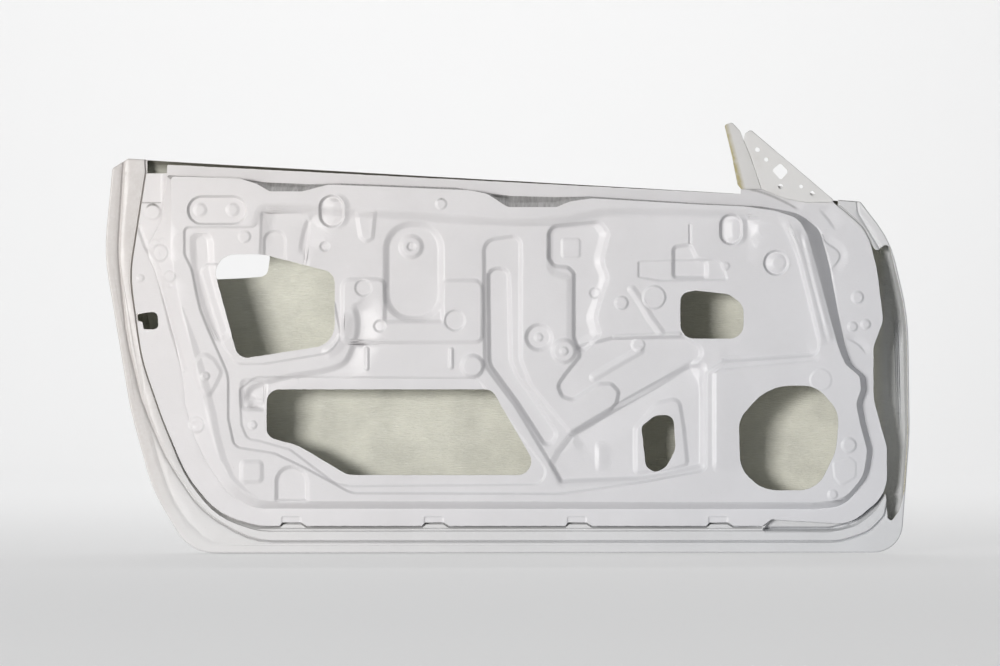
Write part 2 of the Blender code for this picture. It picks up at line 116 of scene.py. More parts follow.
def offset(corners, distance):
    """Parallel outline: plus grows it, minus shrinks it."""
    corners = make_ccw(corners)
    grown = []
    for i, (x, z, radius) in enumerate(corners):
        p = Vector((x, z))
        before = (p - Vector(corners[i - 1][:2])).normalized()
        after = (Vector(corners[(i + 1) % len(corners)][:2]) - p).normalized()
        n0 = Vector((before.y, -before.x))
        n1 = Vector((after.y, -after.x))
        q = p + (n0 + n1) * distance / (1 + n0.dot(n1))
        convex = before.cross(after) > 0
        grown.append((q.x, q.y, max(radius + (distance if convex else -distance), 0.01)))
    return grown


# %% [markdown]
# Tracing an outline turns its fillets into arcs. The arcs are fine here, because this
# mesh is only looked at. Long straight runs can get points too, which the hand-trimmed
# edges need so that they can waver a little.

# %% Trace an outline
ARC_STEP = math.radians(10)


def trace(corners, step=ARC_STEP, spacing=None):
    """Points of an outline whose corners are filleted by arcs."""
    corners = make_ccw(corners)
    points = []
    for i, (x, z, radius) in enumerate(corners):
        p = Vector((x, z))
        to_before = Vector(corners[i - 1][:2]) - p
        to_after = Vector(corners[(i + 1) % len(corners)][:2]) - p
        turn = math.pi - to_before.angle(to_after)
        reach = 0.499 * min(to_before.length, to_after.length)
        if radius < 0.3 or turn < math.radians(1):
            points.append(p)
            continue
        tangent = min(radius * math.tan(turn / 2), reach)
        radius = tangent / math.tan(turn / 2)
        start = p + to_before.normalized() * tangent
        axis = (to_before.normalized() + to_after.normalized()).normalized()
        centre = p + axis * math.hypot(radius, tangent)
        arms = max(1, math.ceil(turn / step), math.ceil(radius * turn / 25))
        spin = turn / arms * (-1 if to_before.cross(to_after) > 0 else 1)
        arm = start - centre
        for k in range(arms + 1):
            c = math.cos(spin * k)
            s = math.sin(spin * k)
            points.append(centre + Vector((arm.x * c - arm.y * s, arm.x * s + arm.y * c)))
    if not spacing:
        return points
    dense = []
    for a, b in zip(points, points[1:] + points[:1]):
        parts = max(1, round((b - a).length / spacing))
        dense += [a.lerp(b, k / parts) for k in range(parts)]
    return dense


def waver(points, amount, scale=11.0):
    """Small steady wander of a hand-trimmed edge."""
    moved = []
    for p in points:
        here = Vector((p.x / scale, 0.0, p.y / scale))
        fine = here * 3.1
        dx = noise.noise(here) + 0.4 * noise.noise(fine)
        dz = noise.noise(here + Vector((7.0, 3.0, 1.0))) + 0.4 * noise.noise(fine + Vector((1.0, 9.0, 4.0)))
        moved.append(p + Vector((dx, dz)) * amount)
    return moved


print("a 20 mm disc has", len(trace(disc(0, 0, 20))), "points")

# %% [markdown]
# The signed distance to an outline, minus inside, drives every pressed wall. Only the
# points near an outline's box are worked out, which keeps a hundred outlines quick.

# %% Distance to an outline


def distance_to(loop, xz, near=None):
    """Signed distance of many points to a closed loop, minus inside."""
    a = np.array([(p.x, p.y) for p in loop])
    b = np.roll(a, -1, axis=0)
    best = np.full(len(xz), np.inf)
    rows = np.arange(len(xz))
    if near is not None:
        low = a.min(axis=0) - near
        high = a.max(axis=0) + near
        rows = np.nonzero(((xz >= low) & (xz <= high)).all(axis=1))[0]
    x = xz[rows, 0]
    z = xz[rows, 1]
    found = np.full(len(rows), np.inf)
    inside = np.zeros(len(rows), dtype=bool)
    for (ax, az), (bx, bz) in zip(a, b):
        ex, ez = bx - ax, bz - az
        along = np.clip(((x - ax) * ex + (z - az) * ez) / max(ex * ex + ez * ez, 1e-12), 0, 1)
        found = np.minimum(found, (x - ax - along * ex) ** 2 + (z - az - along * ez) ** 2)
        if abs(ez) > 1e-12:
            inside ^= ((az > z) != (bz > z)) & (x < ax + ex * (z - az) / ez)
    best[rows] = np.sqrt(found) * np.where(inside, -1, 1)
    return best


def smooth(t):
    """A straight ramp from 0 to 1 as an S-shaped one that has round feet."""
    return t * t * (3 - 2 * t)


def soft_share(corners, run, xz):
    """1 inside an outline and 0 outside, with an S-shaped wall."""
    return smooth(np.clip(0.5 - distance_to(trace(corners), xz, run) / run, 0, 1))


def edge_fall(inward, radius):
    """How far a rounded edge falls away, at a distance inward from it."""
    left = radius - np.clip(inward, 0, radius)
    return radius - np.sqrt(radius ** 2 - left ** 2)


# %% [markdown]
# These are the outlines of the two big mouldings, in millimetres of the drawing. The
# skin is open along the belt, where the window drops in, so the cavity and the mouth
# that are cut from it run out past its top edge.

# %% Outlines of the mouldings
SKIN_OUTLINE = [
    (-622, 616, 6), (-597, 632, 3), (389, 576.5, 0), (578, 563, 8), (626, 500, 160),
    (654, 380, 400), (656, 190, 500), (641, 1, 46), (-496, 0, 70), (-556, 100, 260),
    (-592, 230, 400), (-634.6, 480, 300),
]
CAVITY_OUTLINE = [
    (-619, 640, 6), (389, 585, 1), (575, 573, 5), (623, 499, 157),
    (651, 380, 397), (653, 190, 497), (638, 4, 43), (-494, 3, 67), (-553, 101, 257),
    (-589, 230, 397), (-634, 480, 297),
]
RIM_OUTLINE = [
    (-510, 390, 60), (-486, 330, 60), (-466, 261, 100), (-457, 221, 60), (-449, 181, 60),
    (-440, 149, 40), (-427, 119, 40), (-405, 96, 40), (-378, 79, 40), (620, 79, 1), (620, 640, 1),
    (-560, 640, 1), (-560, 500, 1),
]
SKIN_MOUTH = [
    (-566, 700, 1), (-566, 600, 3), (-558, 590, 3), (-570, 445, 200), (-548, 310, 300),
    (-514, 225, 300), (-432, 98, 160), (-370, 64, 90), (560, 64, 50), (617, 98, 3), (620, 56, 3),
    (626, 51, 4), (638, 66, 30), (648, 100, 60), (653.5, 190, 400), (651, 380, 400), (622, 500, 60),
    (604, 482, 6), (583, 510, 60), (542, 548, 10), (542, 700, 1),
]
SEAT_OUTLINE = [
    (-574, 700, 1), (-569, 610, 2), (-594, 445, 200), (-575, 310, 300), (-543, 218, 300),
    (-503, 120, 200), (-452, 57, 120), (-385, 35, 90), (500, 35.5, 90), (566, 40, 60), (600, 66, 60),
    (618, 95, 30), (622, 110, 60), (622, 170, 60), (601, 245, 60), (601, 330, 40), (617, 372, 40),
    (607, 455, 200), (592, 516, 80), (538, 563, 3), (560, 700, 1),
]
JOGGLE_OUTLINE = [
    (-603, 700, 1), (-604, 620, 2), (-612, 480, 200), (-598, 345, 400), (-574, 245, 300),
    (-536, 155, 200), (-478, 66, 160), (-395, 18.5, 120), (545, 18.5, 90), (592, 34, 60), (616, 60, 14),
    (621, 85, 10), (640, 120, 10), (645, 190, 60), (640, 400, 60), (620, 470, 60),
    (575, 545, 20), (560, 700, 1),
]
HEM_CREASE = [
    (-572, 260, 40), (-556, 180, 200), (-520, 72, 120), (-466, 16, 60), (-400, 12, 60), (-395, 13, 1),
    (-400, 14, 60), (-464, 18, 60), (-518, 74, 120), (-554, 181, 200), (-570, 260, 40),
]
HANDLE_CUTOUT = [
    (-482, 512, 12), (-416, 512, 2), (-416, 488, 3), (-404, 488, 3), (-404, 512, 2), (-380, 512, 8),
    (-373, 474, 12), (-378, 444, 14), (-414, 441, 20), (-482, 438, 14),
]
HANDLE_TAB_HOLE = (-410, 493, 1.8)
LATCH_GATE = [
    (-581, 381, 2), (-570, 386, 2), (-540, 386, 1), (-540, 358, 1), (-573, 358, 2), (-574, 370, 2),
    (-581, 372, 2),
]
PANEL_FOOT = 43.5
DRAIN_TOP = 49.0
DRAIN_CENTRES = [-331, -103, 126, 352]
PANEL_OUTLINE = [
    (-567, 608, 2), (-592, 445, 200), (-573, 310, 300), (-541, 218, 300), (-501, 122, 200),
    (-450, 62, 120), (-385, PANEL_FOOT, 90),
]
for x in DRAIN_CENTRES:
    PANEL_OUTLINE += [(x - 22, PANEL_FOOT, 1), (x - 17, DRAIN_TOP, 1)]
    PANEL_OUTLINE += [(x + 13, DRAIN_TOP, 2), (x + 22, PANEL_FOOT, 2)]
PANEL_OUTLINE += [
    (420, PANEL_FOOT, 3), (434, 54, 6), (560, 46, 60), (619, 95, 60),
    (619, 170, 60), (598, 245, 60), (598, 330, 40), (614, 372, 40), (604, 455, 200), (589, 515, 80),
    (536, 560, 3), (530, 569, 2), (496, 577, 20), (430, 592, 4), (387, 592, 2), (386, 575, 1),
    (-534, 622, 2), (-534, 608, 1),
]
FRONT_CREVICE = [
    (424, 38, 5), (530, 38, 60), (566, 47, 60), (597, 70, 60), (616, 99, 30), (617, 98, 1),
    (598, 69, 60), (567, 46, 60), (531, 37, 60), (424, 37, 5),
]
FRONT_SUMP = [(424, 37, 2), (431, 58, 2), (570, 51, 20), (548, 37, 20)]
TRAY_FOOT = [
    (-534, 605, 4), (-420, 600, 0), (-380, 594, 20), (-306, 590.5, 20), (-256, 592, 20), (-70, 585, 10),
    (-16, 576, 20), (16, 572, 20), (90, 570, 20), (144, 571, 10), (320, 560, 0), (419, 555, 60),
    (480, 544, 60), (512, 518, 30), (527, 466, 200), (541, 389, 200), (554, 325, 100), (563, 301, 20),
    (585, 284, 16), (587, 261, 20), (579, 240, 30), (586, 205, 100), (597, 165, 40), (590, 124, 50),
    (552, 75, 50), (505, 70, 40), (-392, 71, 60), (-435, 94, 60), (-472, 149, 100), (-490, 190, 60),
    (-504, 240, 40), (-508, 282, 60), (-522, 345, 100), (-539, 405, 100), (-553, 452, 60), (-566, 480, 20),
    (-557, 505, 30), (-543, 530, 40),
]
TRAY_TOP = [
    (-525, 602, 6), (-416, 599, 20), (-388, 590, 16), (-368, 578, 12), (-316, 578, 12), (-300, 582, 20),
    (-274, 589, 30), (-48, 580, 40), (-20, 574, 30), (12, 553, 16), (90, 553, 16), (112, 562, 16),
    (146, 567, 30), (320, 557, 0), (392, 554, 60), (440, 547, 60), (476, 535, 30), (491, 508, 40),
    (506, 453, 200), (523, 389, 200), (541, 325, 100), (552, 301, 20), (574, 283, 14), (576, 261, 16),
    (568, 240, 30), (575, 205, 100), (586, 165, 40), (580, 124, 50), (549, 86, 50), (505, 82, 40),
    (-384, 84, 60), (-425, 112, 60), (-450, 155, 100), (-467, 215, 200), (-483, 293, 200),
    (-509, 397, 200), (-524, 470, 60),
]
FIELD_OUTLINE = [
    (-504, 521, 8), (-392, 521, 10), (-381, 552, 12), (-300, 552, 30), (-250, 545, 40),
    (-160, 541, 60), (-40, 530, 40), (30, 526, 40), (95, 526, 40), (165, 544, 60), (384, 541, 80),
    (450, 532, 15), (478, 469, 200), (510, 341, 60), (507, 316, 15), (352, 305, 20), (329, 290, 15),
    (329, 132, 12), (224, 113, 60), (96, 95, 60), (-237, 96, 40), (-310, 136, 40), (-360, 160, 30),
    (-424, 170, 15), (-434, 215, 30), (-434, 285, 60), (-480, 389, 200), (-492, 453, 40),
    (-504, 478, 20),
]

# %% [markdown]
# The panel's openings come next: two for the window gear, two small ones, the round one
# for the speaker, and the latch notch. The drains are dents in the panel's bottom edge.

# %% Openings of the inner panel
REAR_OPENING = [(-463, 477, 30), (-380, 478, 80), (-264, 448, 20), (-264, 334, 36), (-418, 310, 20)]
LONG_OPENING = [
    (-373, 262, 20), (-13, 262, 18), (66, 125, 22), (-243, 125, 30), (-322, 172, 60), (-373, 186, 18),
]
SMALL_OPENING = [
    (288, 415, 22), (312, 420, 10), (366, 414, 30), (389, 396, 22), (389, 343, 22), (288, 343, 22),
]
OVAL_OPENING = [
    (226, 203, 12), (248, 220, 14), (277, 222, 16), (281, 166, 40), (266, 138, 22), (249, 129, 12),
    (233, 137, 16),
]
SPEAKER_OPENING = [
    (381, 214, 40), (428, 268, 80), (505, 268, 45), (541, 226, 45), (537, 165, 80), (506, 101, 45),
    (418, 101, 60), (383, 136, 50),
]
LATCH_NOTCH = [
    (-600, 382, 1), (-577, 383, 2), (-549, 387, 9), (-547, 361, 9), (-556, 357, 8), (-571, 358, 2),
    (-573, 370, 2), (-600, 371, 1),
]
panel_holes = [REAR_OPENING, LONG_OPENING, SMALL_OPENING, OVAL_OPENING, SPEAKER_OPENING, LATCH_NOTCH]
print("openings:", len(panel_holes), "and drains:", len(DRAIN_CENTRES))

# %% [markdown]
# A pressing is a name, a depth, the run of its wall and an outline. Plus is away from
# the cabin. Listing them this way keeps the panel easy to change: each line is one form
# that the mould maker would also think of as one form.

# %% Pressings of the inner panel
SHARP_RUN = 5.0
WALL_RUN = 8.5
SOFT_RUN = 13.0
PRESSINGS = [
    ("lower field", 2.4, SHARP_RUN, [
        (-416, 262, 6), (-390, 282, 20), (-36, 280, 20), (92, 110, 20), (-240, 107, 20), (-264, 112, 30),
        (-336, 166, 20), (-382, 179, 20), (-404, 183, 14), (-413, 205, 20)]),
    ("rear opening lip", -2.5, SHARP_RUN, [
        (-470, 462, 10), (-478, 452, 20), (-441, 330, 30), (-420, 303, 16), (-380, 302, 60),
        (-272, 320, 30), (-254, 345, 20), (-264, 400, 20), (-300, 440, 20), (-440, 462, 20)]),
    ("finger recess", 4.0, SOFT_RUN, band([(-477, 497), (-474, 453), (-462, 405), (-446, 357)], 28, 60)),
    ("slot", 6.0, SHARP_RUN, rect(-498, 526, -405, 570, 21.9)),
    ("slot dome rear", -1.8, 7.0, disc(-479, 549, 9)),
    ("slot dome front", -1.8, 7.0, disc(-427, 549, 9)),
    ("rear oval", 8.0, SHARP_RUN, rect(-288, 522, -250, 571, 18.9)),
    ("rear oval pad", -6.0, 18.0, rect(-274, 526, -247, 567, 13)),
    ("front oval", 8.0, SHARP_RUN, rect(352, 494, 386, 541, 16.9)),
    ("front oval pad", -5.5, 16.0, rect(365, 498, 389, 537, 11)),
    ("front round", 6.0, SHARP_RUN, disc(441, 464, 19)),
    ("front round dome", -4.5, SOFT_RUN, disc(445, 464, 14)),
    ("tall recess", 7.0, SOFT_RUN, rect(-182, 374, -94, 526, 40)),
    ("tall recess boss", -5.0, 9.0, disc(-142, 490, 17)),
    ("tall recess boss dimple", 3.0, SHARP_RUN, disc(-142, 490, 6)),
    ("pads", -4.0, WALL_RUN, [
        (-252, 337, 10), (-28, 337, 12), (-28, 436, 14), (-92, 436, 12), (-92, 370, 4), (-184, 370, 4),
        (-184, 438, 12), (-252, 438, 14)]),
    ("channel", 5.0, WALL_RUN, [
        (-26, 500, 20), (33, 508, 14), (33, 310, 30), (50, 268, 40), (116, 188, 12), (184, 228, 40),
        (256, 269, 40), (304, 299, 14), (322, 299, 8), (322, 140, 8), (224, 120, 60), (112, 116, 10),
        (98, 114, 6), (24, 237, 60), (-24, 300, 30)]),
    ("channel floor", 7.0, WALL_RUN, [
        (-19, 455, 14), (14, 455, 14), (17, 308, 30), (28, 282, 40), (64, 232, 60), (92, 190, 12),
        (76, 166, 16), (30, 238, 60), (-17, 302, 30)]),
    ("lower centre recess", 4.0, SOFT_RUN, [
        (114, 190, 8), (184, 232, 40), (256, 273, 40), (304, 303, 14), (326, 303, 8), (326, 136, 8),
        (224, 116, 60), (112, 112, 10), (97, 111, 6), (82, 142, 12), (94, 164, 12)]),
    ("centre recess", 7.0, WALL_RUN, [
        (78, 522, 16), (160, 530, 12), (174, 512, 14), (162, 468, 30), (173, 440, 24), (160, 405, 30),
        (152, 376, 24), (160, 350, 10), (128, 318, 8), (118, 345, 12), (118, 448, 10), (108, 457, 10),
        (86, 459, 12), (77, 472, 12)]),
    ("centre recess pad", -1.6, SHARP_RUN, rect(99, 473, 128, 503, 5)),
    ("bay recess", 6.0, WALL_RUN, [
        (122, 330, 6), (129, 316, 12), (104, 286, 12), (92, 268, 12), (99, 250, 12), (117, 245, 12),
        (158, 271, 14), (178, 271, 10), (190, 258, 10), (186, 240, 8), (176, 228, 8), (224, 253, 30),
        (304, 299, 14), (330, 322, 14), (296, 345, 10), (180, 344, 10)]),
    ("oval opening pad", -4.0, WALL_RUN, [
        (216, 200, 10), (250, 240, 20), (286, 248, 12), (294, 200, 40), (300, 142, 8), (270, 132, 6),
        (216, 128, 6)]),
    ("middle boss", -6.0, WALL_RUN, disc(-44, 299, 17)),
    ("small opening disc", -3.0, SHARP_RUN, disc(246, 409, 18)),
    ("centre round", 6.0, WALL_RUN, disc(62, 345, 20)),
    ("centre boss", -5.0, WALL_RUN, disc(102, 323, 18)),
    ("arch", 5.0, WALL_RUN, [(-357, 84, 3), (-357, 138, 24), (-308, 138, 24), (-308, 84, 3)]),
    ("corner recess", 3.0, WALL_RUN, rect(-413, 230, -374, 277, 8)),
    ("rear shelf", 2.5, 6.0, [
        (-381, 545, 4), (-302, 545, 20), (-312, 455, 6), (-384, 455, 6)]),
    ("small arch", 3.5, 6.0, rect(-377, 452, -343, 515, 16)),
    ("gusset", -3.0, WALL_RUN, [
        (-230, 546, 3), (-199, 546, 3), (-203, 503, 6), (-214, 497, 6), (-223, 505, 6)]),
    ("regulator step", 2.5, SHARP_RUN, [
        (221, 466, 3), (352, 470, 20), (364, 437, 4), (256, 435, 30), (221, 441, 3)]),
    ("regulator block", 6.0, WALL_RUN, [
        (277, 490, 8), (304, 493, 8), (314, 472, 10), (330, 465, 8), (330, 440, 6), (277, 440, 6)]),
    ("regulator groove", 2.5, 3.5, band([(304, 524), (304, 496)], 4)),
    ("island", -2.5, WALL_RUN, [
        (-490, 300, 8), (-474, 322, 10), (-456, 309, 10), (-444, 290, 10), (-454, 268, 10), (-467, 246, 8),
        (-480, 264, 10), (-488, 280, 8)]),
    ("square pad", -3.0, WALL_RUN, rect(-413, 114, -380, 147, 7)),
    ("rear rib", -3.0, SHARP_RUN, band([(-213, 296), (-213, 326)], 6)),
    ("middle rib", -3.0, SHARP_RUN, band([(-78, 298), (-78, 325)], 6)),
    ("stiffening ridge", -2.5, WALL_RUN, band([(211, 421), (224, 403), (240, 375), (256, 354)], 9, 10)),
    ("centre recess slope", 3.0, 14.0, [
        (80, 520, 16), (152, 528, 12), (165, 510, 14), (154, 468, 30), (165, 440, 24), (153, 405, 30),
        (142, 376, 24), (150, 350, 10), (120, 330, 8), (112, 345, 12), (112, 440, 10), (80, 450, 12)]),
    ("centre ridge", -2.5, WALL_RUN, band([(150, 281), (192, 306), (224, 324)], 9, 8)),
    ("long ridge", -2.0, SHARP_RUN, band([(184, 345), (286, 350)], 6)),
    ("speaker screw land", -1.0, SHARP_RUN, [
        (531, 146, 6), (557, 154, 8), (568, 146, 8), (568, 122, 8), (544, 108, 6), (534, 122, 6)]),
    ("rear crease", 2.2, SHARP_RUN, band([
        (-579, 524), (-568, 492), (-552, 464), (-544, 437), (-537, 405), (-525, 357), (-505, 293)], 6, 40)),
    ("rear step", 1.2, 3.5, rect(-590, 561, -543, 640, 1.7)),
]
ROUND_PRESSINGS = [
    (-218, 424, 13, 3), (-192, 363, 9, 3), (-72, 372, 16, 3), (-280, 490, 7, 3), (-94, 558, 8, -2),
    (-408, 506, 9, -2), (-485, 205, 12, -3), (-486, 205, 5, 1.5), (-528, 442, 9, -2.5),
    (-529, 428, 4, -1.5), (-553, 494, 8, -1.2), (-540, 496, 7, -1.0), (-557, 546, 12, -2.5),
    (-544, 480, 13, -3), (-576, 440, 5, -1.5), (-470, 283, 6, -2.5), (-395, 205, 6, -2), (194, 400, 10, -3),
    (221, 333, 10, -2), (573, 409, 9, -2.5), (586, 366, 7, -2.5), (565, 362, 7, -2.5),
    (557, 173, 11, -2.5), (531, 94, 7, -2), (512, 277, 17, -0.9), (62, 345, 6, -2.5),
    (102, 323, 6, -2.5), (152, 416, 8, 2.5), (360, 459, 6, -1.5),
]
for x, z, radius, depth in ROUND_PRESSINGS:
    PRESSINGS.append(("round pressing", depth, SHARP_RUN, disc(x, z, radius)))
for x in DRAIN_CENTRES:
    PRESSINGS.append(("drain recess", 1.6, 3.5, rect(x - 18, 45, x + 12, 58, 3)))
print("pressings:", len(PRESSINGS))

# %% [markdown]
# Some pressed walls are seen from one side only: the panel steps there and then comes
# back to its level so slowly that no second edge shows. Each is a path. The step is on
# the left of it, going along the path, and a fade says how soon the level comes back.

# %% One-sided steps of the inner panel
STEPS = [
    ("belt contour", 5.0, 18.0, 90.0, [
        (416, 541), (240, 548), (160, 545), (77, 530), (8, 528), (-80, 534), (-224, 542), (-381, 552)]),
    ("gusset step", 3.5, 9.0, 40.0, [(-294, 546), (-309, 531), (-317, 504), (-320, 475)]),
    ("rail", 6.5, 12.0, 34.0, [
        (-238, 398), (-228, 384), (-227, 352), (-238, 322), (-248, 302), (-280, 291), (-336, 283),
        (-381, 272), (-402, 262), (-408, 238)]),
    ("rail pocket foot", 4.5, 8.0, 12.0, [(-405, 231), (-371, 228)]),
    ("rail shoulder", -3.5, 8.0, 16.0, [(-251, 388), (-252, 357), (-265, 333), (-288, 322)]),
    ("diagonal", 5.0, 10.0, 50.0, [(317, 306), (240, 267), (179, 232), (106, 189)]),
    ("lower ridge", -2.5, 8.0, 20.0, [(155, 181), (155, 126)]),
    ("speaker edge", -3.0, 8.0, 60.0, [(342, 302), (342, 128)]),
    ("speaker line upper", 1.6, 4.5, 30.0, [(350, 307), (505, 320)]),
    ("speaker line lower", 1.6, 4.5, 30.0, [(352, 293), (515, 309)]),
    ("front rim", -3.0, 8.0, 14.0, [(461, 525), (475, 477), (490, 421), (505, 357), (512, 328)]),
    ("front bead", -2.5, 6.0, 9.0, [(480, 514), (499, 437), (516, 370), (526, 333)]),
    ("hinge shoulder", 2.2, 4.5, 14.0, [
        (512, 509), (523, 496), (541, 485), (546, 474), (538, 461), (526, 451)]),
    ("hinge boss land", 2.0, 4.5, 14.0, [(552, 344), (571, 336), (582, 325), (586, 314)]),
    ("sail crease", 2.0, 6.0, 20.0, [(390, 582), (416, 580), (456, 563), (485, 546)]),
    ("corner crease", 2.0, 6.0, 20.0, [(509, 552), (525, 536), (539, 514)]),
]
print("one-sided steps:", len(STEPS))

# %% [markdown]
# The mouldings' surfaces are height functions: y for any x and z. The flat flange runs
# deeper towards the belt, the tray stands proud of it, and the pressings add up on the
# tray. A slow wander of a third of a millimetre stands for the flats of a hand lay-up.

# %% Surfaces of the inner panel
PANEL_WALL = 3.5
RIM_STEP = 2.5
RIM_RUN = 12.0
FOOT_DEPTH = 0.9
FOOT_HALF = 2.0
STEP_TAPER = 18.0
FIELD_STEP = 3.5
FIELD_SHARP = 5.0
FIELD_BROAD = 18.0


def soften(path, rounds=3):
    """Path whose corners are cut off a few times, so that it bends smoothly."""
    line = [Vector(p) for p in path]
    for _ in range(rounds):
        cut = [line[0]]
        for a, b in zip(line, line[1:]):
            cut += [a.lerp(b, 0.25), a.lerp(b, 0.75)]
        line = cut + [line[-1]]
    return line


def step_share(path, run, fade, xz):
    """1 on the left of a path, fading out further left and towards both ends."""
    line = soften(path)
    a = np.array([(p.x, p.y) for p in line])
    reach = run + fade
    rows = np.nonzero(((xz > a.min(axis=0) - reach) & (xz < a.max(axis=0) + reach)).all(axis=1))[0]
    x, z = xz[rows, 0], xz[rows, 1]
    best = np.full(len(rows), np.inf)
    side = np.zeros(len(rows))
    place = np.zeros(len(rows))
    gone = 0.0
    for (ax, az), (bx, bz) in zip(a, a[1:]):
        ex, ez = bx - ax, bz - az
        size = math.hypot(ex, ez)
        along = ((x - ax) * ex + (z - az) * ez) / size ** 2
        held = np.clip(along, 0, 1)
        gap = np.hypot(x - ax - held * ex, z - az - held * ez)
        nearer = gap < best
        best = np.where(nearer, gap, best)
        side = np.where(nearer, np.sign(ex * (z - az) - ez * (x - ax)), side)
        place = np.where(nearer, gone + held * size, place)
        gone += size
    left = best * side
    wall = np.clip(0.5 + left / run, 0, 1)
    far = np.clip((left - run / 2) / fade, 0, 1)
    ends = np.clip(np.minimum(place, gone - place) / min(STEP_TAPER, gone / 3), 0, 1)
    share = np.zeros(len(xz))
    share[rows] = smooth(wall) * (1 - smooth(far)) * smooth(ends)
    return share


def flange_level(xz):
    """Y of the flat flange round the tray."""
    return FLANGE_LOW + (FLANGE_HIGH - FLANGE_LOW) * xz[:, 1] / BELT_HEIGHT


def wander(xz, amount=0.35, scale=90.0):
    """Slow unevenness of the flats."""
    spots = [Vector((x / scale, 2.0, z / scale)) for x, z in xz]
    return amount * np.array([noise.noise(spot) for spot in spots])


def tray_share(xz):
    """0 on the flange, 1 on the tray, and a soft wall between its foot and its top."""
    from_foot = np.clip(-distance_to(trace(TRAY_FOOT), xz), 0, None)
    from_top = np.clip(distance_to(trace(TRAY_TOP), xz), 0, None)
    t = from_foot / np.maximum(from_foot + from_top, 1e-6)
    return 0.7 * t + 0.3 * t * t * (3 - 2 * t)


def field_share(xz):
    """1 inside the field, with a wall that is sharp at the sides and broad under the belt."""
    run = np.interp(xz[:, 1], (522, 530), (FIELD_SHARP, FIELD_BROAD))
    return smooth(np.clip(0.5 - distance_to(trace(FIELD_OUTLINE), xz, FIELD_BROAD) / run, 0, 1))


def panel_front(xz):
    """Y of the cabin face of the inner panel."""
    on_tray = tray_share(xz)
    level = flange_level(xz) * (1 - on_tray) + RIM_STEP * on_tray * soft_share(RIM_OUTLINE, RIM_RUN, xz)
    foot = np.exp(-(distance_to(trace(TRAY_FOOT), xz, 20.0) / FOOT_HALF) ** 2)
    level += FOOT_DEPTH * foot + FIELD_STEP * field_share(xz)
    for _, depth, run, corners in PRESSINGS:
        level += depth * soft_share(corners, run, xz)
    for _, depth, run, fade, path in STEPS:
        level += depth * step_share(path, run, fade, xz)
    return level + wander(xz)


def panel_back(xz):
    """Y of the hidden face of the inner panel, never behind the flange's bonded face."""
    return np.minimum(panel_front(xz), flange_level(xz)) + PANEL_WALL


# %% [markdown]
# The skin is a barrel with rounded edges. Its flange is joggled, so that the panel lies
# flush in it. A narrow moat runs round the panel's edge and shows as a dark line, with a
# crevice and a wider sump where the line swells at the front. The nose has a bigger
# radius than the rest, which gives the light rim at the front of the door.

# %% Surfaces of the outer skin
SKIN_WALL = 3.0
BOND_GAP = 0.3
SEAT_STEP = 4.2
SEAT_RUN = 1.6
GROOVE_HALF = 1.5
GROOVE_DEPTH = 6.0
GROOVE_HIGH = 180.0
MOAT_HALF = 1.6
MOAT_DEPTH = 13.0
MOAT_LEAST = 0.05
MOAT_TOP = 220.0
SUMP_DEPTH = 9.0
SUMP_RUN = 2.5
SUMP_MARGIN = 6.0
CREVICE_HALF = 2.2
CREVICE_DEPTH = 9.0
CREASE_DEPTH = 1.2
CROWN_DEPTH = 117.4
CROWN_HEIGHT = 330.0
CROWN_RADIUS = 950.0
BOW_RADIUS = 14000.0
EDGE_RADIUS = 9.0
NOSE_RADIUS = 46.0
NOSE_START = 560.0
NOSE_END = 620.0
NOSE_TOP = 560.0
NOSE_BLEND = 80.0
RIM_DEPTH = 12.0
HEM_RADIUS = 2.5


def skin_flange(xz):
    """Y of the cabin face of the skin's flange: a seat for the panel, then two raised bands."""
    seat = flange_level(xz) + PANEL_WALL + BOND_GAP
    level = seat - SEAT_STEP * (1 - soft_share(SEAT_OUTLINE, SEAT_RUN, xz))
    high = np.clip(xz[:, 1] / GROOVE_HIGH, 0, 1)
    groove = np.exp(-(distance_to(trace(JOGGLE_OUTLINE), xz, 20.0) / (GROOVE_HALF * (0.7 + high))) ** 2)
    groove *= 1 - 0.3 * high
    moat = np.exp(-((distance_to(trace(PANEL_OUTLINE), xz, 20.0) - MOAT_HALF) / MOAT_HALF) ** 2)
    crease = np.exp(-(distance_to(trace(HEM_CREASE), xz, 20.0) / GROOVE_HALF) ** 2)
    inward = -distance_to(trace(SKIN_OUTLINE), xz)
    moat *= np.clip(1.1 - xz[:, 1] / MOAT_TOP, MOAT_LEAST, 1)
    moat *= 1 - soft_share(offset(FRONT_SUMP, SUMP_MARGIN), SUMP_MARGIN, xz)
    level += SUMP_DEPTH * soft_share(FRONT_SUMP, SUMP_RUN, xz)
    crevice = np.exp(-(distance_to(trace(FRONT_CREVICE), xz, 20.0) / CREVICE_HALF) ** 2)
    level += GROOVE_DEPTH * groove + MOAT_DEPTH * moat + CREASE_DEPTH * crease + CREVICE_DEPTH * crevice
    return level + edge_fall(inward, HEM_RADIUS)


def skin_outside(xz):
    """Y of the painted face of the skin."""
    rise = (xz[:, 1] - CROWN_HEIGHT) ** 2 / (2 * CROWN_RADIUS)
    bow = xz[:, 0] ** 2 / (2 * BOW_RADIUS)
    nose = np.clip((xz[:, 0] - NOSE_START) / (NOSE_END - NOSE_START), 0, 1)
    nose = nose * np.clip((NOSE_TOP - xz[:, 1]) / NOSE_BLEND, 0, 1)
    radius = EDGE_RADIUS + (NOSE_RADIUS - EDGE_RADIUS) * nose
    crown = CROWN_DEPTH - rise - bow - edge_fall(-distance_to(trace(SKIN_OUTLINE), xz), radius)
    return np.maximum(crown, skin_flange(xz) + RIM_DEPTH)


def hollow_front(xz):
    """Hidden face of the skin's flange."""
    return skin_flange(xz) + SKIN_WALL


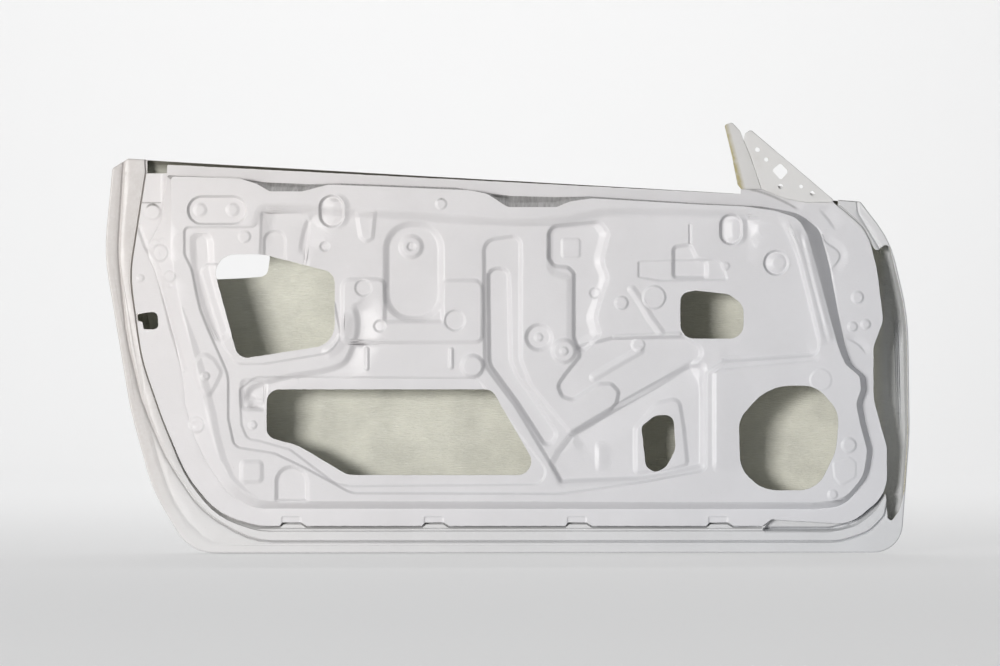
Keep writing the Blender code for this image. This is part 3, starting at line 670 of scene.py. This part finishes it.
def hollow_back(xz):
    """Inside face of the skin, kept clear of the flange where the mouth runs out."""
    return np.maximum(skin_outside(xz) - SKIN_WALL, hollow_front(xz) + SKIN_WALL)


# %% [markdown]
# One helper makes every body: it meshes the outlines with a constrained Delaunay
# triangulation, drops what lies in a hole, and puts a second, deeper sheet behind the
# first. Long straight loops get points too where the surface bends under them, or their
# triangles would bridge it. The walls between the two sheets get a material slot of their
# own, because a trimmed laminate edge looks nothing like gelcoat.

# %% Bodies between two surfaces
GELCOAT, RAW, TRIMMED = 0, 1, 2
EDGE_SPACING = 3.5
MERGE_DISTANCE = 1e-3


def slab(name, outline, front, back, loops=(), holes=(), grid=None, trim=0.0,
         faces=(GELCOAT, RAW, TRIMMED), between=(), loop_spacing=None):
    """Closed mesh between two height functions over an outline, with holes left out."""
    spacing = EDGE_SPACING if trim else None
    edges_of = [outline] + list(holes)
    rings = [waver(trace(ring, spacing=spacing), trim) for ring in edges_of]
    rings += [trace(loop, spacing=loop_spacing) for loop in loops]
    points = []
    edges = []
    for ring in rings:
        first = len(points)
        points += ring
        edges += [(first + k, first + (k + 1) % len(ring)) for k in range(len(ring))]
    points += between
    if grid:
        low = Vector((min(p.x for p in rings[0]), min(p.y for p in rings[0])))
        high = Vector((max(p.x for p in rings[0]), max(p.y for p in rings[0])))
        for i in range(1, int((high.x - low.x) / grid) + 1):
            for k in range(1, int((high.y - low.y) / grid) + 1):
                points.append(Vector((low.x + (i + 0.5 * (k % 2)) * grid, low.y + k * grid)))
    flat, _, tris, _, _, _ = delaunay_2d_cdt(points, edges, [], 0, MERGE_DISTANCE, False)
    xz = np.array([(p.x, p.y) for p in flat])
    centres = np.array([xz[list(tri)].mean(axis=0) for tri in tris])
    keep = distance_to(rings[0], centres) < 0
    for ring in rings[1:len(edges_of)]:
        keep &= distance_to(ring, centres, 1.0) > 0
    bm = bmesh.new()
    verts = [bm.verts.new((x, y, z)) for (x, z), y in zip(xz, front(xz))]
    for tri, kept in zip(tris, keep):
        if kept:
            bm.faces.new([verts[k] for k in tri]).material_index = faces[0]
    for vert in [v for v in bm.verts if not v.link_faces]:
        bm.verts.remove(vert)
    sheet = set(bm.faces)
    grown = bmesh.ops.extrude_face_region(bm, geom=bm.faces[:])["geom"]
    rear = [g for g in grown if isinstance(g, bmesh.types.BMVert)]
    rear_faces = {g for g in grown if isinstance(g, bmesh.types.BMFace)}
    rear_xz = np.array([(v.co.x, v.co.z) for v in rear])
    for vert, y in zip(rear, back(rear_xz)):
        vert.co.y = y
    for face in bm.faces:
        if face in rear_faces:
            face.material_index = faces[1]
        elif face not in sheet:
            face.material_index = faces[2]
    bmesh.ops.recalc_face_normals(bm, faces=bm.faces)
    for vert in bm.verts:
        vert.co = to_frame(*vert.co)
    mesh = bpy.data.meshes.new(name)
    for _ in range(3):
        mesh.materials.append(None)
    bm.to_mesh(mesh)
    bm.free()
    mesh.shade_smooth()
    print(name, "has", len(mesh.polygons), "faces")
    return bpy.data.objects.new(name, mesh)


# %% [markdown]
# A wall needs several rings of points across it to look round. Each pressing gets rings
# at fixed shares of its wall, close together where the wall bends most.

# %% Rings across a wall
WALL_SHARES = (-0.5, -0.4, -0.25, 0.0, 0.25, 0.4, 0.5)


def wall_rings(corners, run, shares=WALL_SHARES):
    """Parallel outlines across a pressed wall."""
    return [offset(corners, run * share) for share in shares]


def points_between(foot, top, shares, spacing=4.0):
    """Loose points on a wall of changing width, from each outline towards the other."""
    foot = trace(foot, spacing=spacing)
    top = trace(top, spacing=spacing)
    spots = {}
    for start, end, flip in ((foot, top, False), (top, foot, True)):
        for p in start:
            q = min(end, key=lambda other: (other - p).length_squared)
            for share in shares:
                spot = p.lerp(q, 1 - share if flip else share)
                spots[round(spot.x / 1.5), round(spot.y / 1.5)] = spot
    return list(spots.values())


def points_beside(path, run, fade, spacing=4.0):
    """Loose points on both sides of a path, where a one-sided step needs them."""
    line = soften(path)
    spots = []
    for a, b in zip(line, line[1:]):
        parts = max(1, round((b - a).length / spacing))
        side = Vector((a.y - b.y, b.x - a.x)).normalized()
        for k in range(parts):
            p = a.lerp(b, k / parts)
            spots += [p + side * run * share for share in (-0.5, -0.38, -0.2, 0.0, 0.2, 0.38, 0.5)]
            spots += [p + side * (run / 2 + fade * share) for share in (0.2, 0.45, 0.75, 1.0)]
    return spots


def finish_shading(piece, angle):
    """Smooth shading that keeps flats flat and cut edges sharp."""
    piece.data.set_sharp_from_angle(angle=math.radians(angle))
    weighted = piece.modifiers.new("weighted_normals", "WEIGHTED_NORMAL")
    weighted.mode = "FACE_AREA"
    weighted.keep_sharp = True


# %% [markdown]
# The inner panel is one moulding, so it is one mesh.

# %% Inner panel
panel_loops = [TRAY_FOOT, TRAY_TOP] + wall_rings(TRAY_FOOT, FOOT_HALF, (-1.5, -0.7, 0.7, 1.5))
panel_loops += wall_rings(RIM_OUTLINE, RIM_RUN) + wall_rings(FIELD_OUTLINE, FIELD_SHARP)
panel_loops += wall_rings(FIELD_OUTLINE, FIELD_BROAD)
for _, _, run, corners in PRESSINGS:
    panel_loops += wall_rings(corners, run)
panel_points = points_between(TRAY_FOOT, TRAY_TOP, (0.12, 0.3, 0.5, 0.7, 0.88))
for _, _, run, fade, path in STEPS:
    panel_points += points_beside(path, run, fade)
panel = slab("panel_moulding", PANEL_OUTLINE, panel_front, panel_back, panel_loops, panel_holes, 20.0, 0.45,
             between=panel_points, loop_spacing=32.0)
bpy.context.scene.collection.objects.link(panel)
finish_shading(panel, 45)
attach(panel, "root")
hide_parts("inner_panel")

# %% [markdown]
# The outer skin is a thick slab with a hollow taken out of it, the way the real one is
# a thin shell round an empty space. The hollow brings its own raw laminate finish to
# the inside, and the mouth brings the trimmed edge of the flange.

# %% Outer skin
EDGE_SHARES = (0.04, 0.15, 0.35, 0.65, 1.0)
NOSE_SHARES = (0.07, 0.1, 0.14, 0.19, 0.25, 0.32, 0.4, 0.5, 0.65, 0.82, 1.0)
CUT_START = -50.0
CUT_PAST = 1.5


def cut_front(xz):
    """Y of a cutter's near end, well in front of the skin."""
    return np.full(len(xz), CUT_START)


def cut_back(xz):
    """Y of a cutter's far end, just past the flange's hidden face."""
    return hollow_front(xz) + CUT_PAST


joggle_loops = wall_rings(SEAT_OUTLINE, SEAT_RUN, (-0.5, 0.0, 0.5))
joggle_loops += wall_rings(JOGGLE_OUTLINE, GROOVE_HALF, (-2.0, -1.3, -0.7, 0.0, 0.7, 1.3, 2.0))
joggle_loops += [HEM_CREASE] + wall_rings(PANEL_OUTLINE, MOAT_HALF, (0.0, 0.5, 1.0, 1.5, 2.2))
joggle_loops += wall_rings(FRONT_SUMP, SUMP_RUN, (-0.5, 0.0, 0.5)) + [offset(FRONT_SUMP, -SUMP_MARGIN)]
joggle_loops += [offset(FRONT_CREVICE, CREVICE_HALF * k) for k in (0.2, 0.6, 1.1, 1.8)]
hem_loops = [offset(SKIN_OUTLINE, -HEM_RADIUS * share) for share in EDGE_SHARES]
edge_loops = [offset(SKIN_OUTLINE, -EDGE_RADIUS * share) for share in EDGE_SHARES]
nose_loops = [offset(SKIN_OUTLINE, -NOSE_RADIUS * share) for share in NOSE_SHARES]
skin = slab("skin_moulding", SKIN_OUTLINE, skin_flange, skin_outside, joggle_loops + hem_loops + edge_loops
            + nose_loops, [HANDLE_CUTOUT, disc(*HANDLE_TAB_HOLE)], 30.0, faces=(GELCOAT,) * 3)
hollow = slab("skin_hollow", CAVITY_OUTLINE, hollow_front, hollow_back, joggle_loops + edge_loops[4:]
              + nose_loops, (), 30.0, faces=(RAW,) * 3)
mouth = slab("skin_mouth", SKIN_MOUTH, cut_front, cut_back, joggle_loops, (), 30.0, 0.5, (TRIMMED,) * 3)
gate = slab("latch_gate", LATCH_GATE, cut_front, cut_back, trim=0.3, faces=(TRIMMED,) * 3)
bpy.context.scene.collection.objects.link(skin)


def cut_away(piece, cutter):
    """Takes one mesh out of another for good, and removes the cutter."""
    bpy.context.scene.collection.objects.link(cutter)
    step = piece.modifiers.new(cutter.name, "BOOLEAN")
    step.object = cutter
    step.solver = "EXACT"
    step.material_mode = "INDEX"
    depsgraph = bpy.context.evaluated_depsgraph_get()
    mesh = bpy.data.meshes.new_from_object(piece.evaluated_get(depsgraph))
    piece.modifiers.clear()
    piece.data = mesh
    bpy.data.objects.remove(cutter)


for cutter in (hollow, mouth, gate):
    cut_away(skin, cutter)
finish_shading(skin, 45)
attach(skin, "root")
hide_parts("outer_skin")
print("skin faces:", len(skin.data.polygons))

# %% [markdown]
# The mirror plate is flat, with screw holes drilled on fitting and a crooked cable hole
# that was broken out by hand. The strip beside it is tapered.

# %% Mirror plate and channel strip
PLATE_WALL = 4.0
MIRROR_PLATE = [
    (393, 672, 4), (402, 678, 5), (534, 566, 2), (534, 561.5, 1), (488, 561.5, 5), (457, 567.5, 30),
    (419.3, 582.5, 1), (404.3, 628, 200), (391.3, 661, 5),
]
CHANNEL_STRIP = [
    (360, 686, 4), (372, 690, 5), (385, 676, 5), (391, 661, 5), (404, 628, 200), (419, 582.5, 1),
    (387, 582.5, 3), (381, 590, 6), (372, 635, 100),
]
CABLE_HOLE = [(436, 613, 4), (450, 625, 4), (463, 611, 5), (450, 597, 4)]
SCREW_HOLES = [(413, 646, 4), (427, 630, 3.5), (450, 587, 4.2), (483, 587, 3.2), (501, 576, 4)]
plate_holes = [disc(*hole) for hole in SCREW_HOLES] + [CABLE_HOLE]
PLATE_EDGE = 1.2


def plate_back(xz):
    """Y of the bonded face of the plate and the strip."""
    return flange_level(xz) - BOND_GAP


def flat_piece(name, outline, holes, amount, scale):
    """Flat laminate with a softened edge and a cabin face that wanders a little."""

    def front(xz):
        inward = -distance_to(trace(outline), xz)
        return plate_back(xz) - PLATE_WALL + edge_fall(inward, PLATE_EDGE) + wander(xz, amount, scale)

    loops = [offset(outline, -PLATE_EDGE * share) for share in (0.3, 1.0)]
    return slab(name, outline, front, plate_back, loops, holes, 8.0, trim=0.35)


plate = flat_piece("mirror_plate_fine", MIRROR_PLATE, plate_holes, 0.3, 30.0)
strip = flat_piece("channel_strip_fine", CHANNEL_STRIP, (), 0.4, 25.0)
small_pieces = ((plate, "mirror_plate", "plate_gelcoat"), (strip, "channel_strip", "strip_gelcoat"))
for piece, node, slot in small_pieces:
    bpy.context.scene.collection.objects.link(piece)
    finish_shading(piece, 45)
    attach(piece, "root")
    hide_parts(node)

# %% [markdown]
# Materials are node trees without pictures. These helpers add a node, link it, and
# build the noise and colour ramps that every finish here shares. The mix node has a set
# of sockets for each kind of value, so its colour sockets go by number.

# %% Node helpers
MIX_FACTOR, MIX_A, MIX_B = 0, 6, 7
MIX_COLOUR = 2


class Finish:
    """A procedural material with short calls for the nodes it needs."""

    def __init__(self, name):
        self.material = bpy.data.materials.new(name)
        self.material.use_nodes = True
        self.tree = self.material.node_tree
        self.shader = self.tree.nodes["Principled BSDF"]
        self.where = self.add("ShaderNodeTexCoord", {}, "Object")

    def fill(self, socket, value):
        """A wire or a plain value into a socket."""
        if isinstance(value, bpy.types.NodeSocket):
            self.tree.links.new(value, socket)
        else:
            socket.default_value = value

    def add(self, kind, inputs, output, **settings):
        """One output of a new node, whose inputs are wires or values."""
        node = self.tree.nodes.new(kind)
        for key, value in settings.items():
            setattr(node, key, value)
        for key, value in inputs.items():
            self.fill(node.inputs[key], value)
        return node.outputs[output]

    def put(self, value, name):
        """A wire or a value into one of the shader's own sockets."""
        self.fill(self.shader.inputs[name], value)

    def stretch(self, scale, turn=(0, 0, 0)):
        """The object's own coordinates, scaled and turned."""
        inputs = {"Vector": self.where, "Scale": scale, "Rotation": turn}
        return self.add("ShaderNodeMapping", inputs, "Vector")

    def noise(self, scale, detail=3.0, rough=0.55, vector=None):
        """Noise at a scale in waves per metre."""
        inputs = {"Vector": vector or self.where, "Scale": scale, "Detail": detail, "Roughness": rough}
        return self.add("ShaderNodeTexNoise", inputs, "Fac")

    def ramp(self, fac, low, high, start, end):
        """Two tones between two values of a factor."""
        node = self.tree.nodes.new("ShaderNodeValToRGB")
        for stop, place, tone in zip(node.color_ramp.elements, (start, end), (low, high)):
            stop.position = place
            stop.color = (*tone, 1)
        self.fill(node.inputs["Fac"], fac)
        return node.outputs["Color"]

    def mix(self, fac, a, b, blend="MIX"):
        """Mix of two colours; a factor or colour may be a value or a socket."""
        a, b = [c if isinstance(c, bpy.types.NodeSocket) else (*c, 1) for c in (a, b)]
        inputs = {MIX_FACTOR: fac, MIX_A: a, MIX_B: b}
        return self.add("ShaderNodeMix", inputs, MIX_COLOUR, data_type="RGBA", blend_type=blend)

    def scale(self, fac, low, high):
        """A factor moved to a new range."""
        return self.add("ShaderNodeMapRange", {"Value": fac, "To Min": low, "To Max": high}, "Result")

    def along(self, source, direction, start, end):
        """0 to 1 between two values of a vector measured along a direction."""
        dot = self.add("ShaderNodeVectorMath", {0: source, 1: direction}, "Value", operation="DOT_PRODUCT")
        return self.add("ShaderNodeMapRange", {"Value": dot, "From Min": start, "From Max": end}, "Result")

    def times(self, a, b):
        """Product of two factors."""
        return self.add("ShaderNodeMath", {0: a, 1: b}, "Value", operation="MULTIPLY")

    def bump(self, height, distance, strength=1.0, after=None):
        """Fine relief, one on top of another."""
        inputs = {"Height": height, "Distance": distance, "Strength": strength}
        if after:
            inputs["Normal"] = after
        return self.add("ShaderNodeBump", inputs, "Normal")


# %% [markdown]
# White gelcoat is a sprayed polyester skin, seldom quite even. It has a faint orange
# peel, the weave of the laminate prints through it very weakly, and workshop dust dulls
# it in patches. Painted shade darkens the walls that face up under the belt, in streaks.
# The strip has a stain at one end, and the skin has painted shade along its rear edge.
# Heights are in metres of the frame.

# %% White gelcoat
WALL_SHADE_START = 0.094
WALL_SHADE_END = 0.098


def gelcoat(name, colour, dull, dust, end_stain_or_shade=None):
    """White gelcoat with a little dust on it, and streaks of painted shade on the walls that face up under
    the belt.
    """
    finish = Finish(name)
    tone = finish.ramp(finish.noise(9.0, 4.0), [c * 0.965 for c in colour], colour, 0.35, 0.65)
    specks = finish.ramp(finish.noise(420.0, 2.0), (0, 0, 0), (1, 1, 1), 0.72, 0.80)
    film = finish.ramp(finish.noise(26.0, 6.0, 0.65), (0, 0, 0), (1, 1, 1), 0.50, 0.85)
    dusty = finish.mix(finish.scale(film, 0.0, dust), tone, (0.42, 0.38, 0.32))
    dirty = finish.mix(finish.scale(specks, 0.0, 0.25), dusty, (0.25, 0.22, 0.18))
    # Painted shade: walls that face up, high under the belt, are darkened in streaks.
    normal = finish.add("ShaderNodeNewGeometry", {}, "Normal")
    upward = finish.along(normal, (0, 0, 1), 0.25, 0.55)
    wall = finish.times(upward, finish.along(finish.where, (0, 0, 1), WALL_SHADE_START, WALL_SHADE_END))
    lines = finish.scale(finish.noise(1.0, 3.0, 0.6, finish.stretch((260.0, 30.0, 5.0))), 0.15, 1.0)
    wall_shaded = finish.mix(finish.times(wall, lines), dirty, (0.12, 0.115, 0.10))
    warm = finish.along(finish.where, (-0.7, 0.0, 0.7), -0.3, 0.9)
    tint = finish.mix(warm, (0.985, 1.0, 1.025), (1.0, 0.975, 0.955))
    tinted = finish.mix(1.0, wall_shaded, tint, "MULTIPLY")
    # One end of a piece is darkened: a stain on the strip, painted shade along the skin's rear edge.
    if end_stain_or_shade:
        direction, start, end, mark = end_stain_or_shade
        spread = finish.along(finish.where, direction, start, end)
        ragged = finish.times(spread, finish.scale(finish.noise(160.0), 0.3, 1.6))
        tinted = finish.mix(ragged, tinted, mark)
    finish.put(tinted, "Base Color")
    finish.put(finish.scale(finish.noise(40.0, 5.0), dull - 0.08, dull + 0.10), "Roughness")
    peel = finish.bump(finish.noise(260.0, 2.0), 0.0005, 0.22)
    weave = finish.noise(90.0, 1.0, 0.4, finish.stretch((1.0, 1.0, 6.0), (0, 0.6, 0)))
    finish.put(finish.bump(weave, 0.0006, 0.12, peel), "Normal")
    finish.put(0.45, "Specular IOR Level")
    return finish.material


# %% [markdown]
# Raw laminate shows the chopped strands that were wetted out by hand: a translucent
# yellow-green resin with pale fibres in every direction, and a rough feel. Painted shade
# darkens it along the belt, and inside the nose a white coat covers it.

# %% Raw laminate
BELT_SLOPE = (0.0568, 0.0, 1.0)


def laminate(name, resin, strand):
    """Hand-laid chopped strand mat."""
    finish = Finish(name)
    fibres = None
    for k in range(4):
        turn = (0, math.radians(45 * k + 11), 0)
        layer = finish.noise(70.0, 2.0, 0.5, finish.stretch((1.0, 1.0, 11.0), turn))
        lines = finish.ramp(layer, (0, 0, 0), (1, 1, 1), 0.52, 0.66)
        fibres = lines if fibres is None else finish.mix(0.5, fibres, lines, "LIGHTEN")
    thin = [c * 0.80 for c in resin]
    thick = [min(c * 1.10, 1) for c in resin]
    blotch = finish.ramp(finish.noise(14.0, 5.0), thin, thick, 0.3, 0.7)
    colour = finish.mix(finish.scale(fibres, 0.0, 0.45), blotch, strand)
    # Painted shade: the laminate turns near black towards the belt's top edge.
    belt = finish.along(finish.where, BELT_SLOPE, 0.085, 0.106)
    belt_shaded = finish.mix(finish.scale(belt, 0.0, 0.85), colour, (0.10, 0.09, 0.07))
    coated = finish.mix(finish.along(finish.where, (1, 0, 0), 0.030, 0.050), belt_shaded, (0.66, 0.67, 0.68))
    finish.put(coated, "Base Color")
    finish.put(finish.scale(finish.noise(60.0), 0.42, 0.70), "Roughness")
    coarse = finish.bump(fibres, 0.0012, 0.5)
    finish.put(finish.bump(finish.noise(180.0, 4.0), 0.0010, 0.35, coarse), "Normal")
    return finish.material


# %% [markdown]
# Where a saw went through, the laminate is a matt straw colour with grey dust in it.

# %% Trimmed edge


def trimmed(name):
    """Sawn edge of the laminate."""
    finish = Finish(name)
    layers = finish.noise(300.0, 3.0, 0.6, finish.stretch((1.0, 6.0, 1.0)))
    colour = finish.ramp(layers, (0.38, 0.36, 0.29), (0.62, 0.60, 0.52), 0.35, 0.65)
    finish.put(colour, "Base Color")
    finish.put(finish.bump(finish.noise(700.0, 4.0), 0.0008, 0.6), "Normal")
    finish.put(0.85, "Roughness")
    return finish.material


# %% [markdown]
# Each piece gets its own gelcoat in the first slot, and shares the laminate and the sawn
# edge. The strip's stain and the painted shade on the skin's rear edge are each a
# direction, where it starts and ends along it, and its colour.

# %% Paint the pieces
raw_laminate = laminate("raw_laminate", (0.72, 0.715, 0.625), (0.82, 0.82, 0.75))
sawn_edge = trimmed("sawn_edge")
STRIP_STAIN = ((0.968, 0.0, 0.251), -0.1425, -0.1500, (0.42, 0.37, 0.20))
# Painted shade: the skin's rear edge is darkened to a warm grey.
SKIN_REAR_SHADE = ((-1.0, 0.0, 0.0), 1.08, 1.17, (0.58, 0.55, 0.53))
coats = {
    panel: gelcoat("panel_gelcoat", (0.70, 0.695, 0.705), 0.42, 0.05),
    skin: gelcoat("skin_gelcoat", (0.69, 0.69, 0.69), 0.38, 0.05, SKIN_REAR_SHADE),
    plate: gelcoat("plate_gelcoat", (0.72, 0.715, 0.70), 0.60, 0.16),
    strip: gelcoat("strip_gelcoat", (0.66, 0.655, 0.64), 0.55, 0.14, STRIP_STAIN),
}
for piece, coat in coats.items():
    for slot, finish in enumerate((coat, raw_laminate, sawn_edge)):
        piece.data.materials[slot] = finish
    used = np.zeros(len(piece.data.polygons), dtype=int)
    piece.data.polygons.foreach_get("material_index", used)
    print(piece.name, "faces per finish:", np.bincount(used, minlength=3).tolist())
print("painted", len(coats), "pieces")

# %% [markdown]
# The studio is a pale floor that sweeps up behind the door. The camera sees it a little
# brighter than the lights make it, so that the ground stays plain and pale.

# %% Floor and backdrop
FLOOR_Z = to_frame(0, 0, 0).z - 0.002
FLOOR_LIFT = 0.55
FLOOR_TONE = (0.80, 0.80, 0.80, 1)
GLOW_TONE = (0.84, 0.84, 0.84, 1)


def sweep_profile():
    """Floor, a quarter circle and a wall, seen from the side."""
    radius = 1.6
    back = 3.2
    line = [(-9.0, 0.0), (back, 0.0)]
    for k in range(1, 13):
        a = math.radians(7.5 * k)
        line.append((back + radius * math.sin(a), radius - radius * math.cos(a)))
    line.append((back + radius, 6.0))
    return line


bm = bmesh.new()
rows = [[bm.verts.new((x, y, z + FLOOR_Z)) for y, z in sweep_profile()] for x in (-12.0, 12.0)]
for k in range(len(rows[0]) - 1):
    bm.faces.new((rows[0][k], rows[1][k], rows[1][k + 1], rows[0][k + 1]))
floor_mesh = bpy.data.meshes.new("studio_sweep")
bm.to_mesh(floor_mesh)
bm.free()
floor_mesh.shade_smooth()
floor = bpy.data.objects.new("studio_sweep", floor_mesh)
bpy.context.scene.collection.objects.link(floor)
paper = Finish("pale_paper")
paper.put(FLOOR_TONE, "Base Color")
paper.put(0.9, "Roughness")
glow = paper.add("ShaderNodeEmission", {"Color": GLOW_TONE}, "Emission")
seen = paper.add("ShaderNodeLightPath", {}, "Is Camera Ray")
share = paper.add("ShaderNodeMath", {0: seen, 1: FLOOR_LIFT}, "Value", operation="MULTIPLY")
both = paper.add("ShaderNodeMixShader", {0: share, 1: paper.shader.outputs["BSDF"], 2: glow}, "Shader")
paper.fill(paper.tree.nodes["Material Output"].inputs["Surface"], both)
floor.data.materials.append(paper.material)
print("floor at z =", round(FLOOR_Z, 3), "m")

# %% [markdown]
# A soft box stands far out on the left, at the door's own height, as in the photograph.
# A second one washes the backdrop from above, and a faint bluish sky fills the shadows.

# %% Lights


def area_light(name, place, aim, size, power, colour):
    """A soft box that points at a place."""
    data = bpy.data.lights.new(name, "AREA")
    data.shape = "RECTANGLE"
    data.size, data.size_y = size
    data.energy = power
    data.color = colour
    lamp = bpy.data.objects.new(name, data)
    lamp.location = place
    lamp.rotation_euler = (Vector(aim) - Vector(place)).to_track_quat("-Z", "Y").to_euler()
    bpy.context.scene.collection.objects.link(lamp)


centre = to_frame(0, 0, 352)
beside = centre + Vector((-4.2, -6.8, 0.55))
above = centre + Vector((0, 1.6, 3.0))
backdrop = centre + Vector((0, 4.6, 0.4))
area_light("left_softbox", beside, centre, (2.2, 1.4), 500, (1.0, 0.985, 0.97))
area_light("backdrop_wash", above, backdrop, (4.0, 0.6), 110, (1, 1, 1))
world = bpy.data.worlds.new("studio_air")
world.use_nodes = True
world.node_tree.nodes["Background"].inputs["Color"].default_value = (0.95, 0.97, 1.0, 1)
world.node_tree.nodes["Background"].inputs["Strength"].default_value = 0.27
bpy.context.scene.world = world
bpy.context.scene.view_settings.view_transform = "Standard"

# %% [markdown]
# The photograph looks at the door square on from the cabin, through a long lens. The
# lens makes one pixel 1.6 mm wide at a depth of 17 mm behind the hinge face. The rows are
# counted from the top: the door's bottom edge is on row 553, the picture's middle on 333.

# %% Camera
CAMERA_DISTANCE = 6.0
SHARP_DEPTH = 0.017
PIXEL = 1.6 * MM
PICTURE_WIDTH = 1000
BOTTOM_ROW = 553
MIDDLE_ROW = 333
camera_data = bpy.data.cameras.new("camera")
camera_data.sensor_width = 36.0
picture = PICTURE_WIDTH * PIXEL
camera_data.lens = camera_data.sensor_width * (CAMERA_DISTANCE + SHARP_DEPTH) / picture
camera = bpy.data.objects.new("camera", camera_data)
height = (BOTTOM_ROW - MIDDLE_ROW) * PIXEL / MM
camera.location = to_frame(0, 0, height) + Vector((0, -CAMERA_DISTANCE, 0))
camera.rotation_euler = (math.radians(90), 0, 0)
bpy.context.scene.collection.objects.link(camera)
bpy.context.scene.camera = camera
print("lens:", round(camera_data.lens, 1), "mm")
